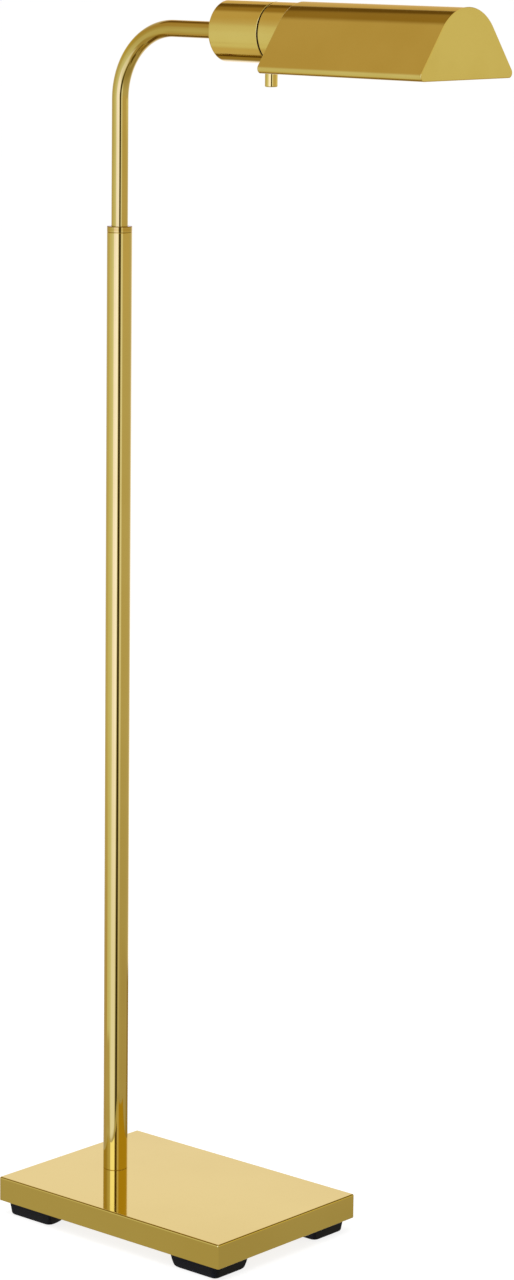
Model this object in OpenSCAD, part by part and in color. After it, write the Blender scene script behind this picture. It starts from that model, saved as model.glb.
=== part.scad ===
// Adjustable reading floor lamp: a slab base on four feet, a telescoping pole,
// a bent arm, and a tent-shaped shade that turns about the arm on a swivel head.
// +Z is up, +X runs from the pole towards the shade, and the feet stand on Z = 0.
// The origin is the middle of the whole lamp's footprint, on the floor.

/* [Base] */
// Length of the base plate, along the arm
plate_l = 229; // [200:1:260]
// Width of the base plate
plate_w = 158; // [130:1:190]
// Thickness of the base plate
plate_t = 19; // [17:0.5:26]
// Radius of the base plate's rounded edges
plate_edge_r = 1.3; // [0.8:0.1:2.4]
// Distance from the plate's rear edge to the pole's axis
pole_set_back = 50; // [40:1:70]
// Length of a foot, along the arm
foot_l = 47; // [36:1:54]
// Width of a foot
foot_w = 38; // [30:1:46]
// Height of a foot
foot_h = 11; // [9:0.5:16]
// Distance from the plate's end to a foot
foot_inset = 5; // [2:0.5:10]
// Distance from the plate's long side to a foot
foot_side_inset = 3; // [2:0.5:10]
// How far a foot's sole draws in on each side
foot_taper = 2.6; // [1:0.1:4]
// Radius of a foot's outer corner, under the plate's corner
foot_corner_r = 6.5; // [5.5:0.5:12]
// Radius of the two corners where a foot's inner ends meet its outer sides
foot_end_r = 2; // [0.5:0.5:6]
// Radius of a foot's innermost corner, which faces the middle of the plate
foot_inner_r = 30; // [14:1:34]
// How much more a foot's two inner ends draw in towards the sole
foot_end_draw = 0.6; // [0:0.1:4]

/* [Pole] */
// Outside diameter of the pole
pole_d = 19; // [18.6:0.1:22]
// Wall of the pole
pole_wall = 1.2; // [0.8:0.1:1.4]
// Length of the pole above the plate
pole_h = 734; // [640:2:820]
// Height of the collar on top of the pole
collar_h = 4.6; // [3:0.1:8]
// Length of the friction bush under the collar
collar_bush_l = 22; // [14:1:34]

/* [Arm] */
// Outside diameter of the arm's tube
arm_d = 12.5; // [12:0.1:12.9]
// Wall of the arm's tube
arm_wall = 1; // [0.8:0.05:1.2]
// Height of the arm's axis over the collar, as stored
arm_rise = 148; // [140:1:190]
// Bend radius at the middle of the tube
bend_r = 52; // [30:1:56]
// Distance from the pole's axis to the cup
arm_reach = 106.5; // [90:0.5:160]
// How far the arm can be raised from the stored height
travel_up = 360; // [200:5:400]
// Length of the bush on the arm's lower end
slide_bush_l = 25; // [16:1:36]

/* [Head] */
// Outside diameter of the cup and of the shade's collar
cup_d = 44.4; // [43.4:0.2:50]
// Length of the cup
cup_l = 46.4; // [42:0.2:60]
// Wall of the cup and of the shade's collar
cup_wall = 1.2; // [0.8:0.1:1.5]
// Gap between the cup and the shade's collar
seam_gap = 1.4; // [0.6:0.1:1.6]
// Length of the shade's collar
ring_l = 24.9; // [20:0.1:34]
// Diameter of the lampholder
holder_d = 32.6; // [31.6:0.2:33]
// Diameter of the bulb's glass
bulb_d = 29; // [26:1:32]
// Length of the bulb's glass
bulb_l = 112; // [80:1:125]

/* [Shade] */
// Length of the shade
shade_l = 148; // [140:1:180]
// Height of the shade
shade_h = 49.8; // [46:0.2:60]
// Radius of the shade's rounded ridge
ridge_r = 35.3; // [30:0.1:40]
// Lean of the shade's sides from upright, in degrees
side_lean = 36.5; // [28:0.5:42]
// Radius of the rolled lower edges
hem_r = 3.6; // [2.4:0.1:5]
// Width of the lip that turns in below
hem_lip = 3; // [1:0.2:6]
// Thickness of the shade's sheet
shade_wall = 1; // [0.8:0.05:1.4]
// How far the ridge stands above the cup
shade_over = 1.1; // [0.6:0.1:4]

/* [Switch] */
// Diameter of the knob
knob_d = 9.3; // [7:0.1:11]
// Length of the knob
knob_l = 13.5; // [10:0.5:20]
// Gap between the cup and the knob
knob_gap = 2.9; // [1.5:0.1:6]
// Diameter of the switch's shaft
shaft_d = 4; // [3:0.1:4.6]
// Distance from the cup's front edge to the shaft's axis
shaft_set_back = 4.2; // [3.8:0.1:8]

/* [Hidden] */
$fn = 96;

// Clearances: pieces that slide or turn, pieces that are pressed or screwed in, and free air.
slide_gap = 0.06;
press_gap = 0.03;
air_gap = 0.3;

// How far a cutter runs past the face that it opens.
cut = 1;

// Heights
plate_z = foot_h;
plate_top = plate_z + plate_t;
pole_top = plate_top + pole_h;
collar_top = pole_top + collar_h;
arm_z = collar_top + arm_rise;

// The feet
foot_screw_r = 2;
foot_screw_head_r = 3.8;
foot_screw_head_t = 2.4;
foot_screw_grip = 8;
foot_recess = 3;
foot_skin = 0.2;
foot_step = 10;
foot_least_r = 0.4;
sole_round = 2.4;

// The pole and what it holds
pole_r = pole_d / 2;
pole_in_r = pole_r - pole_wall;
arm_r = arm_d / 2;
arm_in_r = arm_r - arm_wall;
collar_spigot_l = 6;
collar_edge = 0.35;
collar_bush_z = pole_top - collar_spigot_l - collar_bush_l;

// The stud that holds the pole on the plate
stud_r = 5;
stud_in_r = 3.5;
plug_l = 22;
well_r = 13;
well_depth = 11;
well_top = plate_z + well_depth;
washer_r = 10.5;
washer_t = 1.5;
pole_nut_flats = 17;
pole_nut_t = 6;
stud_proud = 1;
stud_z = well_top - washer_t - pole_nut_t - stud_proud;
stud_top = plate_top + plug_l - 3 * stud_proud;
inlet_r = 2.9;
inlet_l = 9;
inlet_flange_r = 6.2;
inlet_flange_t = 1.5;

// The lower end of the arm
clip_t = 1;
clip_rim = 1.3;
clip_bite = 0.4;
end_flange_t = 2;
end_plug_l = 12;
stop_clearance = 1;
arm_end_z = collar_bush_z - travel_up - stop_clearance - slide_bush_l - clip_t - 3 * air_gap;
slide_bush_z = arm_end_z + air_gap;
clip_z = slide_bush_z + slide_bush_l + air_gap;

// The flex inside
flex_r = 2.4;
coil_r = 7;
base_flex_rise = 12;
coil_z = stud_top + base_flex_rise;

// Places along the arm, from the pole's axis
cup_x = arm_reach;
cup_front = cup_x + cup_l;
ring_x = cup_front + seam_gap;
shade_x = ring_x + ring_l;
shade_front = shade_x + shade_l;
pole_x = -(shade_front - pole_set_back) / 2;
plate_x = pole_x - pole_set_back;

// The head, as radii about the arm's axis
cup_r = cup_d / 2;
cup_in_r = cup_r - cup_wall;
cup_back_t = 1.6;
cup_edge_r = 1.4;
seam_recess = 0.8;
swivel_bush_t = 2;
spigot_r = cup_in_r - swivel_bush_t - slide_gap;
spigot_wall = 1.4;
spigot_in_r = spigot_r - spigot_wall;
spigot_seat_l = 14;
swivel_bush_l = 10;
wave_t = 1;
ring_clip_t = 1;
ring_clip_bite = 0.7;
spigot_nose = 2;
clip_groove_x = ring_x + swivel_bush_l + wave_t + 3 * air_gap;
spigot_front = clip_groove_x + ring_clip_t + air_gap + spigot_nose;
ring_flange_t = 1.2;
holder_r = holder_d / 2;
holder_air = 1.4;
holder_hole_r = holder_r + holder_air;
rivet_r = 0.8;
rivet_head_r = 1.4;
rivet_head_t = 0.8;
rivet_count = 4;
rivet_turn = 45;
rivet_ring_r = (holder_hole_r + cup_in_r) / 2;

// The stud that holds the cup on the arm
head_stud_r = arm_in_r - press_gap;
head_stud_in_r = 3.2;
head_stud_l = 14;
cup_nut_flats = 16;
cup_nut_t = 3.5;
strap_t = 1.2;
strap_rim = 2.5;
strap_w = 2 * (head_stud_r + strap_rim);
strap_leg_y = cup_nut_flats / 2 + 4 * air_gap;
strap_tab_l = 6;
strap_screw_r = 1.5;
strap_screw_l = 10;
strap_screw_head_r = 2.6;
strap_screw_head_t = 1.4;
strap_screw_y = strap_leg_y - strap_tab_l / 2;

// The switch and the lampholder
shaft_x = cup_front - shaft_set_back;
shaft_r = shaft_d / 2;
housing_l = 15;
housing_x = shaft_x - housing_l;
holder_nose_l = 8.2;
holder_front = shaft_x + holder_nose_l;
rotor_r = 5.4;
rotor_t = 4;
rotor_z = -7;
knob_r = knob_d / 2;
knob_edge = 0.8;
knob_top = -cup_r - knob_gap;
knob_base = knob_top - knob_l;
shaft_in_knob = 9;
grub_r = 1.1;
grub_sunk = 0.4;
sleeve_l = 22;
sleeve_t = 1.9;
shell_t = 0.5;
shell_short = 1;
shell_in_r = 13.3;
contact_w = 6;
contact_t = 0.5;
contact_h = 1.6;

// The bulb
tip_x = holder_front + contact_h + slide_gap;
tip_l = 3;
tip_r = 3.2;
tip_base_r = 10.5;
cap_r = 13;
cap_thread = 0.5;
cap_x = tip_x + tip_l;
cap_l = 20;
thread_pitch = 3.6;
thread_start = 2;
thread_end = 4;
glass_x = cap_x + cap_l;
glass_t = 0.8;
neck_r = 12;
neck_l = 4;
shoulder_l = 8;
bulb_r = bulb_d / 2;

// The shade's outline, from its ridge down; the ridge arc runs into the leaning side.
ridge_z = cup_r + shade_over;
side_top = [ridge_r * cos(side_lean), -ridge_r * (1 - sin(side_lean))];
hem_z = -shade_h + hem_r;
side_drop = side_top[1] - (hem_z + hem_r * sin(side_lean));
side_foot = [side_top[0] + side_drop * tan(side_lean), hem_z + hem_r * sin(side_lean)];
hem_y = side_foot[0] - hem_r * cos(side_lean);
ridge_step = 3;
hem_step = 9;

// Where the feet are: rear (0) or front (1), then right (-1) or left (1).
FEET = [[0, -1], [0, 1], [1, -1], [1, 1]];

BRASS = [0.83, 0.66, 0.27];
STEEL = [0.72, 0.73, 0.75];
NYLON = [0.86, 0.85, 0.8];
BLACK = [0.08, 0.08, 0.09];
PHENOLIC = [0.16, 0.11, 0.08];
PORCELAIN = [0.93, 0.92, 0.89];
GLASS = [0.95, 0.95, 0.93];

// Moves children to the pole's axis, at height z.
module at_pole(z) { translate([pole_x, 0, z]) children(); }

// Lays children along the arm: their Z runs along +X, and their X points down.
module along_arm(x) { translate([pole_x + x, 0, arm_z]) rotate([0, 90, 0]) children(); }

// A round tube or washer from z = 0.
module tube(outer, inner, length) {
    difference() {
        cylinder(r = outer, h = length);
        translate([0, 0, -cut]) cylinder(r = inner, h = length + 2 * cut);
    }
}

// A hexagon nut from z = 0, with flats facing Y.
module hex_nut(flats, bore, thick) {
    difference() {
        cylinder(r = flats / 2 / cos(30), h = thick, $fn = 6);
        translate([0, 0, -cut]) cylinder(r = bore, h = thick + 2 * cut);
    }
}

// A rectangle with round corners.
module round_rect(l, w, r) {
    square([l - 2 * r, w], center = true);
    square([l, w - 2 * r], center = true);
    for (x = [-1, 1], y = [-1, 1]) translate([x * (l / 2 - r), y * (w / 2 - r)]) circle(r);
}

// A rectangle on y = 0 whose two upper corners are round.
module round_top(l, h, r) {
    translate([-l / 2, 0]) square([l, h - r]);
    translate([-l / 2 + r, 0]) square([l - 2 * r, h]);
    for (x = [-1, 1]) translate([x * (l / 2 - r), h - r]) circle(r);
}

// The base plate: a slab with rounded upper edges, a stepped hole for the pole's stud
// and blind holes for the foot screws.
module plate_slab() {
    intersection() {
        linear_extrude(plate_t) round_rect(plate_l, plate_w, plate_edge_r);
        rotate([90, 0, 0]) linear_extrude(plate_w, center = true) round_top(plate_l, plate_t, plate_edge_r);
        rotate([90, 0, 90]) linear_extrude(plate_l, center = true) round_top(plate_w, plate_t, plate_edge_r);
    }
}

module at_foot(place) {
    x = plate_x + (place[0] == 0 ? foot_inset + foot_l / 2 : plate_l - foot_inset - foot_l / 2);
    y = place[1] * (plate_w / 2 - foot_side_inset - foot_w / 2);
    translate([x, y, 0]) children();
}

module base_plate() {
    color(BRASS) difference() {
        translate([plate_x + plate_l / 2, 0, plate_z]) plate_slab();
        at_pole(plate_z - cut) cylinder(r = stud_r + press_gap, h = plate_t + 2 * cut);
        at_pole(plate_z - cut) cylinder(r = well_r, h = well_depth + cut);
        for (place = FEET) at_foot(place) translate([0, 0, plate_z - cut])
            cylinder(r = foot_screw_r + press_gap, h = foot_screw_grip + 2 * cut);
    }
}

// Points of a foot's outline, with its outer corner towards +X and +Y. Every side is moved in by inset,
// and the two inner ends by draw as well; the innermost corner's radius is limited by the sides.
function foot_outline(inset, draw) =
    let (x = foot_l / 2 - inset, y = foot_w / 2 - inset, r = foot_corner_r - inset,
         end_r = max(foot_end_r - inset, foot_least_r),
         inner_r = min(foot_inner_r, foot_l - foot_end_r, foot_w - foot_end_r) - inset - draw)
    concat(
        arc([x - r, y - r], r, 0, 90, foot_step),
        arc([draw + end_r - x, y - end_r], end_r, 90, 180, foot_step),
        arc([draw + inner_r - x, draw + inner_r - y], inner_r, 180, 270, foot_step),
        arc([x - end_r, draw + end_r - y], end_r, 270, 360, foot_step));

// A thin slice of a foot at height z, with its outer corner under the plate's corner.
module foot_slice(place, z, inset, draw) {
    outward = [place[0] == 0 ? -1 : 1, place[1]];
    translate([0, 0, z]) linear_extrude(foot_skin)
        polygon([for (p = foot_outline(inset, draw)) [p[0] * outward[0], p[1] * outward[1]]]);
}

// A foot: a rubber block that narrows to a rounded sole, with a recess for its screw.
module foot(place) {
    color(BLACK) at_foot(place) difference() {
        hull() {
            foot_slice(place, foot_h - foot_skin, 0, 0);
            foot_slice(place, sole_round, foot_taper / 2, foot_end_draw);
            foot_slice(place, sole_round / 4, foot_taper, foot_end_draw);
            foot_slice(place, 0, foot_taper + sole_round / 2, foot_end_draw);
        }
        translate([0, 0, -cut]) {
            cylinder(r = foot_screw_r + press_gap, h = foot_h + 2 * cut);
            cylinder(r = foot_screw_head_r + air_gap, h = foot_recess + foot_screw_head_t + cut);
        }
    }
}

module foot_rear_right() { foot(FEET[0]); }

module foot_rear_left() { foot(FEET[1]); }

module foot_front_right() { foot(FEET[2]); }

module foot_front_left() { foot(FEET[3]); }

// The screws that hold the feet: a pan head up in each foot's recess.
module foot_screws() {
    seat = foot_recess + foot_screw_head_t;
    color(STEEL) for (place = FEET) at_foot(place) {
        translate([0, 0, seat - foot_screw_head_t]) cylinder(r = foot_screw_head_r, h = foot_screw_head_t);
        translate([0, 0, seat]) cylinder(r = foot_screw_r, h = foot_h - seat + foot_screw_grip);
    }
}

// The pole, the threaded plug in its foot, and the hollow stud, washer and nut that clamp it.
module pole_tube() { color(BRASS) at_pole(plate_top) tube(pole_r, pole_in_r, pole_h); }

module pole_plug() {
    color(BRASS) at_pole(plate_top) tube(pole_in_r - press_gap, stud_r + press_gap, plug_l);
}

module pole_stud() { color(STEEL) at_pole(stud_z) tube(stud_r, stud_in_r, stud_top - stud_z); }

module pole_washer() {
    color(STEEL) at_pole(well_top - washer_t) tube(washer_r, stud_r + press_gap, washer_t);
}

module pole_nut() {
    color(STEEL) at_pole(well_top - washer_t - pole_nut_t)
        hex_nut(pole_nut_flats, stud_r + press_gap, pole_nut_t);
}

// The plastic inlet in the stud's lower end, where a mains cord comes in.
module cord_inlet() {
    color(BLACK) at_pole(stud_z) difference() {
        union() {
            translate([0, 0, -inlet_flange_t]) cylinder(r = inlet_flange_r, h = inlet_flange_t);
            cylinder(r = stud_in_r - press_gap, h = inlet_l - inlet_flange_t);
        }
        translate([0, 0, -inlet_flange_t - cut]) cylinder(r = inlet_r, h = inlet_l + 2 * cut);
    }
}

// The flex from the inlet up through the stud, then the slack coil, as its outer shape,
// which opens and closes as the arm rises and falls.
module base_flex() {
    low = stud_z + inlet_l - inlet_flange_t;
    color(BLACK) at_pole(low) cylinder(r = flex_r, h = coil_z - low);
}

module coiled_flex() {
    coil_top = arm_end_z - end_flange_t - air_gap;
    color(BLACK) at_pole(coil_z) tube(coil_r, coil_r - 2 * flex_r, coil_top - coil_z);
}

// The collar that closes the pole, and the friction bush that guides the arm's tube.
module pole_collar() {
    bore = arm_r + air_gap;
    color(BRASS) at_pole(pole_top) rotate_extrude() polygon([
        [bore, -collar_spigot_l], [pole_in_r - press_gap, -collar_spigot_l], [pole_in_r - press_gap, 0],
        [pole_r - collar_edge, 0], [pole_r, collar_edge], [pole_r, collar_h - collar_edge],
        [pole_r - collar_edge, collar_h], [bore, collar_h]
    ]);
}

module collar_bush() {
    color(NYLON) at_pole(collar_bush_z) tube(pole_in_r - press_gap, arm_r + slide_gap, collar_bush_l);
}

// The bush on the arm's lower end: it slides in the pole, and the arm turns in it.
module slide_bush() {
    color(NYLON) at_pole(slide_bush_z) tube(pole_in_r - slide_gap, arm_r + slide_gap, slide_bush_l);
}

// A round bar along the arm's middle line: up the pole, round the bend and out to x_end.
module arm_line(r, z_start, x_end) {
    at_pole(z_start) cylinder(r = r, h = arm_z - bend_r - z_start);
    translate([pole_x + bend_r, 0, arm_z - bend_r]) rotate([90, 0, 0]) rotate([0, 0, 90])
        rotate_extrude(angle = 90) translate([bend_r, 0]) circle(r);
    along_arm(bend_r) cylinder(r = r, h = x_end - bend_r);
}

module arm_tube() {
    color(BRASS) difference() {
        arm_line(arm_r, arm_end_z, cup_x);
        arm_line(arm_in_r, arm_end_z - cut, cup_x + cut);
        at_pole(clip_z) tube(arm_r + cut, arm_r - clip_bite, clip_t);
    }
}

module arm_stop_clip() {
    color(STEEL) at_pole(clip_z) tube(arm_r + clip_rim, arm_r - clip_bite + press_gap, clip_t - press_gap);
}

module arm_end_plug() {
    color(BRASS) at_pole(arm_end_z) difference() {
        union() {
            translate([0, 0, -end_flange_t]) cylinder(r = arm_r + clip_rim, h = end_flange_t);
            cylinder(r = arm_in_r - press_gap, h = end_plug_l);
        }
        translate([0, 0, -end_flange_t - cut])
            cylinder(r = flex_r + press_gap, h = end_plug_l + end_flange_t + 2 * cut);
    }
}

module arm_flex() { color(BLACK) arm_line(flex_r, arm_end_z - end_flange_t, housing_x); }

// The stud in the arm's end, the cup that it carries, and the nut inside the cup.
module head_stud() {
    color(STEEL) along_arm(cup_x - head_stud_l)
        tube(head_stud_r, head_stud_in_r, head_stud_l + cup_back_t + strap_t + cup_nut_t + stud_proud);
}

module shaft_hole(r) {
    translate([pole_x + shaft_x, 0, arm_z - cup_r - cut]) cylinder(r = r, h = cup_r + cut);
}

module socket_cup() {
    color(BRASS) difference() {
        along_arm(cup_x) rotate_extrude() {
            square([cup_r - cup_edge_r, cup_l]);
            translate([0, cup_edge_r]) square([cup_r, cup_l - cup_edge_r]);
            translate([cup_r - cup_edge_r, cup_edge_r]) circle(cup_edge_r);
        }
        along_arm(cup_x + cup_back_t) cylinder(r = cup_in_r, h = cup_l);
        along_arm(cup_x - cut) cylinder(r = head_stud_r + press_gap, h = cup_back_t + 2 * cut);
        shaft_hole(shaft_r + air_gap);
    }
}

module cup_nut() {
    color(STEEL) along_arm(cup_x + cup_back_t + strap_t)
        hex_nut(cup_nut_flats, head_stud_r + press_gap, cup_nut_t);
}

// The U-shaped strap that carries the switch and the lampholder, with its two screws.
module holder_strap() {
    x0 = cup_x + cup_back_t;
    leg = housing_x - x0;
    color(STEEL) difference() {
        translate([pole_x + x0, -strap_leg_y - strap_t, arm_z - strap_w / 2]) difference() {
            cube([leg, 2 * (strap_leg_y + strap_t), strap_w]);
            translate([strap_t, strap_t, -cut])
                cube([leg - 2 * strap_t, 2 * strap_leg_y, strap_w + 2 * cut]);
            translate([strap_t, strap_t + strap_tab_l, -cut])
                cube([leg, 2 * (strap_leg_y - strap_tab_l), strap_w + 2 * cut]);
        }
        along_arm(x0 - cut) cylinder(r = head_stud_r + press_gap, h = strap_t + 2 * cut);
        for (y = [-1, 1]) translate([0, y * strap_screw_y, 0])
            along_arm(housing_x - strap_t - cut)
                cylinder(r = strap_screw_r + press_gap, h = strap_t + 2 * cut);
    }
}

module strap_screws() {
    color(STEEL) for (y = [-1, 1]) translate([0, y * strap_screw_y, 0]) {
        along_arm(housing_x - strap_t - strap_screw_head_t)
            cylinder(r = strap_screw_head_r, h = strap_screw_head_t);
        along_arm(housing_x - strap_t) cylinder(r = strap_screw_r, h = strap_t + strap_screw_l);
    }
}

// The hollow that the switch's rotor and shaft turn in, split between the two mouldings.
module rotor_hollow() {
    translate([pole_x + shaft_x, 0, arm_z + rotor_z - air_gap])
        cylinder(r = rotor_r + air_gap, h = rotor_t + 2 * air_gap);
    translate([pole_x + shaft_x, 0, arm_z - cup_r]) cylinder(r = shaft_r + slide_gap, h = cup_r + rotor_z);
}

module switch_housing() {
    color(PHENOLIC) difference() {
        along_arm(housing_x) cylinder(r = holder_r, h = shaft_x - housing_x);
        rotor_hollow();
        for (y = [-1, 1]) translate([0, y * strap_screw_y, 0])
            along_arm(housing_x - cut) cylinder(r = strap_screw_r + press_gap, h = strap_screw_l + 2 * cut);
    }
}

module lampholder_body() {
    color(PHENOLIC) difference() {
        along_arm(shaft_x) cylinder(r = holder_r, h = holder_front - shaft_x);
        rotor_hollow();
    }
}

module lampholder_sleeve() {
    color(PORCELAIN) along_arm(holder_front) tube(holder_r, holder_r - sleeve_t, sleeve_l);
}

module screw_shell() {
    color(BRASS) along_arm(holder_front) tube(shell_in_r + shell_t, shell_in_r, sleeve_l - shell_short);
}

// The sprung leaf that the bulb's tip presses on.
module centre_contact() {
    foot_z = -1.5 * contact_w;
    knee_z = foot_z / 2;
    lip_z = contact_w / 2;
    color(BRASS) translate([pole_x + holder_front, contact_w / 2, arm_z]) rotate([90, 0, 0])
        linear_extrude(contact_w) polygon([
            [0, foot_z], [contact_t, foot_z], [contact_t, knee_z], [contact_h, 0], [contact_h, lip_z],
            [contact_h - contact_t, lip_z], [contact_h - contact_t, 0], [0, knee_z]
        ]);
}

// The spigot in the cup's mouth, which the shade's collar turns on, with its washers and clip.
module swivel_spigot() {
    seat_x = cup_front - spigot_seat_l;
    color(STEEL) difference() {
        union() {
            along_arm(seat_x) cylinder(r = cup_in_r - press_gap, h = spigot_seat_l);
            along_arm(cup_front) cylinder(r = spigot_r, h = spigot_front - cup_front);
        }
        along_arm(seat_x - cut) cylinder(r = spigot_in_r, h = spigot_front - seat_x + 2 * cut);
        along_arm(clip_groove_x) tube(spigot_r + cut, spigot_r - ring_clip_bite, ring_clip_t);
        shaft_hole(shaft_r + air_gap);
    }
}

module seam_washer() {
    color(BLACK) along_arm(cup_front) tube(cup_r - seam_recess, spigot_r + press_gap, seam_gap - slide_gap);
}

module wave_washer() {
    color(STEEL) along_arm(ring_x + swivel_bush_l + air_gap)
        tube(cup_in_r - air_gap, spigot_r + slide_gap, wave_t);
}

module retaining_clip() {
    color(STEEL) along_arm(clip_groove_x)
        tube(cup_in_r - air_gap, spigot_r - ring_clip_bite + press_gap, ring_clip_t - press_gap);
}

// The bulb: a tipped screw cap and a tubular glass.
module bulb_tip() {
    color(BLACK) along_arm(tip_x) cylinder(r1 = tip_r, r2 = tip_base_r, h = tip_l);
}

module bulb_cap() {
    ridges = floor((cap_l - thread_end - thread_start) / thread_pitch);
    color(STEEL) along_arm(cap_x) rotate_extrude() {
        square([cap_r - cap_thread, cap_l]);
        for (i = [0:ridges - 1])
            translate([cap_r - 2 * cap_thread, thread_start + i * thread_pitch]) circle(2 * cap_thread);
    }
}

module glass_outline(r, neck, length) {
    square([neck, neck_l]);
    polygon([[0, neck_l], [neck, neck_l], [r, neck_l + shoulder_l], [0, neck_l + shoulder_l]]);
    translate([0, neck_l + shoulder_l]) square([r, length - r - neck_l - shoulder_l]);
    translate([0, length - r]) intersection() {
        circle(r);
        square(r);
    }
}

module bulb_glass() {
    color(GLASS) along_arm(glass_x) rotate_extrude() difference() {
        glass_outline(bulb_r, neck_r, bulb_l);
        translate([0, -glass_t]) glass_outline(bulb_r - glass_t, neck_r - glass_t, bulb_l);
        translate([0, -cut]) square([neck_r - glass_t, 2 * cut]);
    }
}

// The knob under the cup, its grub screw, and the shaft and rotor that it turns.
module at_shaft(z) { translate([pole_x + shaft_x, 0, arm_z + z]) children(); }

module at_grub() { at_shaft(knob_top - shaft_in_knob / 2) rotate([0, -90, 0]) children(); }

module switch_knob() {
    color(BRASS) difference() {
        at_shaft(knob_base) rotate_extrude() {
            square([knob_r - knob_edge, knob_l]);
            translate([0, knob_edge]) square([knob_r, knob_l - 2 * knob_edge]);
            for (z = [knob_edge, knob_l - knob_edge]) translate([knob_r - knob_edge, z]) circle(knob_edge);
        }
        at_shaft(knob_top - shaft_in_knob) cylinder(r = shaft_r + press_gap, h = shaft_in_knob + cut);
        at_grub() cylinder(r = grub_r + press_gap, h = knob_r + cut);
    }
}

module knob_grub_screw() {
    color(STEEL) at_grub() translate([0, 0, shaft_r + 2 * press_gap])
        cylinder(r = grub_r, h = knob_r - shaft_r - grub_sunk);
}

module switch_shaft() {
    foot = knob_top - shaft_in_knob;
    color(STEEL) at_shaft(foot) cylinder(r = shaft_r, h = rotor_z - foot);
}

module switch_rotor() { color(NYLON) at_shaft(rotor_z) cylinder(r = rotor_r, h = rotor_t); }

// The shade's collar: a short tube with an inner flange, on a bush that turns on the spigot.
module shade_collar() {
    color(BRASS) along_arm(ring_x) difference() {
        cylinder(r = cup_r, h = ring_l);
        translate([0, 0, -cut]) cylinder(r = cup_in_r, h = ring_l - ring_flange_t + cut);
        cylinder(r = holder_hole_r, h = ring_l + cut);
        translate([0, 0, ring_l - ring_flange_t - cut])
            rivet_places() cylinder(r = rivet_r + press_gap, h = ring_flange_t + 2 * cut);
    }
}

module rivet_places() {
    for (i = [0:rivet_count - 1])
        rotate(rivet_turn + i * 360 / rivet_count) translate([rivet_ring_r, 0, 0]) children();
}

module swivel_bush() {
    color(NYLON) along_arm(ring_x) tube(cup_in_r - press_gap, spigot_r + slide_gap, swivel_bush_l);
}

// Points on a circle's arc, from one angle to another, a few degrees apart.
function arc(centre, r, from, to, step) =
    [for (i = [0:round(abs(to - from) / step)])
        let (a = from + (to - from) * i / round(abs(to - from) / step))
        centre + r * [cos(a), sin(a)]];

// The shade's outline, seen along the arm, from the right hem over the ridge to the left hem;
// its ridge is at y = 0, and inset gives the sheet's inner face.
function shade_outline(inset) = concat(
    arc([hem_y, hem_z], hem_r - inset, -90, side_lean, hem_step),
    arc([0, -ridge_r], ridge_r - inset, side_lean, 180 - side_lean, ridge_step),
    arc([-hem_y, hem_z], hem_r - inset, 180 - side_lean, 270, hem_step));

function reversed(points) = [for (i = [len(points) - 1:-1:0]) points[i]];

// Stands an outline across the arm at x, with its own Y as height over the ridge.
module across_arm(x) {
    translate([pole_x + x, 0, arm_z + ridge_z]) rotate([90, 0, 90]) children();
}

module shade_body() {
    mouth = hem_y - hem_lip;
    color(BRASS) across_arm(shade_x + shade_wall) linear_extrude(shade_l - 2 * shade_wall) polygon(concat(
        [[mouth, -shade_h]], shade_outline(0), [[-mouth, -shade_h], [-mouth, -shade_h + shade_wall]],
        reversed(shade_outline(shade_wall)), [[mouth, -shade_h + shade_wall]]));
}

module shade_front_cap() {
    color(BRASS) across_arm(shade_front - shade_wall) linear_extrude(shade_wall) polygon(shade_outline(0));
}

module shade_rear_cap() {
    color(BRASS) difference() {
        across_arm(shade_x) linear_extrude(shade_wall) polygon(shade_outline(0));
        along_arm(shade_x - cut) cylinder(r = holder_hole_r, h = shade_wall + 2 * cut);
        along_arm(shade_x - cut) rivet_places() cylinder(r = rivet_r + press_gap, h = shade_wall + 2 * cut);
    }
}

module collar_rivets() {
    color(STEEL) along_arm(shade_x - ring_flange_t) rivet_places() {
        translate([0, 0, -rivet_head_t]) cylinder(r = rivet_head_r, h = rivet_head_t);
        cylinder(r = rivet_r, h = ring_flange_t + shade_wall);
        translate([0, 0, ring_flange_t + shade_wall]) cylinder(r = rivet_head_r, h = rivet_head_t);
    }
}

base_plate();
foot_rear_right();
foot_rear_left();
foot_front_right();
foot_front_left();
foot_screws();
pole_tube();
pole_plug();
pole_stud();
pole_washer();
pole_nut();
cord_inlet();
base_flex();
coiled_flex();
pole_collar();
collar_bush();
slide_bush();
arm_tube();
arm_stop_clip();
arm_end_plug();
arm_flex();
head_stud();
socket_cup();
cup_nut();
holder_strap();
strap_screws();
switch_housing();
lampholder_body();
lampholder_sleeve();
screw_shell();
centre_contact();
swivel_spigot();
seam_washer();
wave_washer();
retaining_clip();
bulb_tip();
bulb_cap();
bulb_glass();
switch_knob();
switch_shaft();
switch_rotor();
knob_grub_screw();
shade_collar();
swivel_bush();
shade_body();
shade_front_cap();
shade_rear_cap();
collar_rivets();
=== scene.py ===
# %% [markdown]
# # A brass reading lamp, dressed in Blender
# The lamp is a heavy brass plate on four rubber feet, a straight pole, and a thinner tube that
# slides out of the pole, bends over and carries a cup and a tent-shaped shade. Its solids come
# from a CAD model, which stays where it is: this script only makes what the eye sees. The box of
# the solids is kept.

# %% Load the imported lamp
import math

import bpy
import numpy as np
from mathutils import Matrix, Vector


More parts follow.
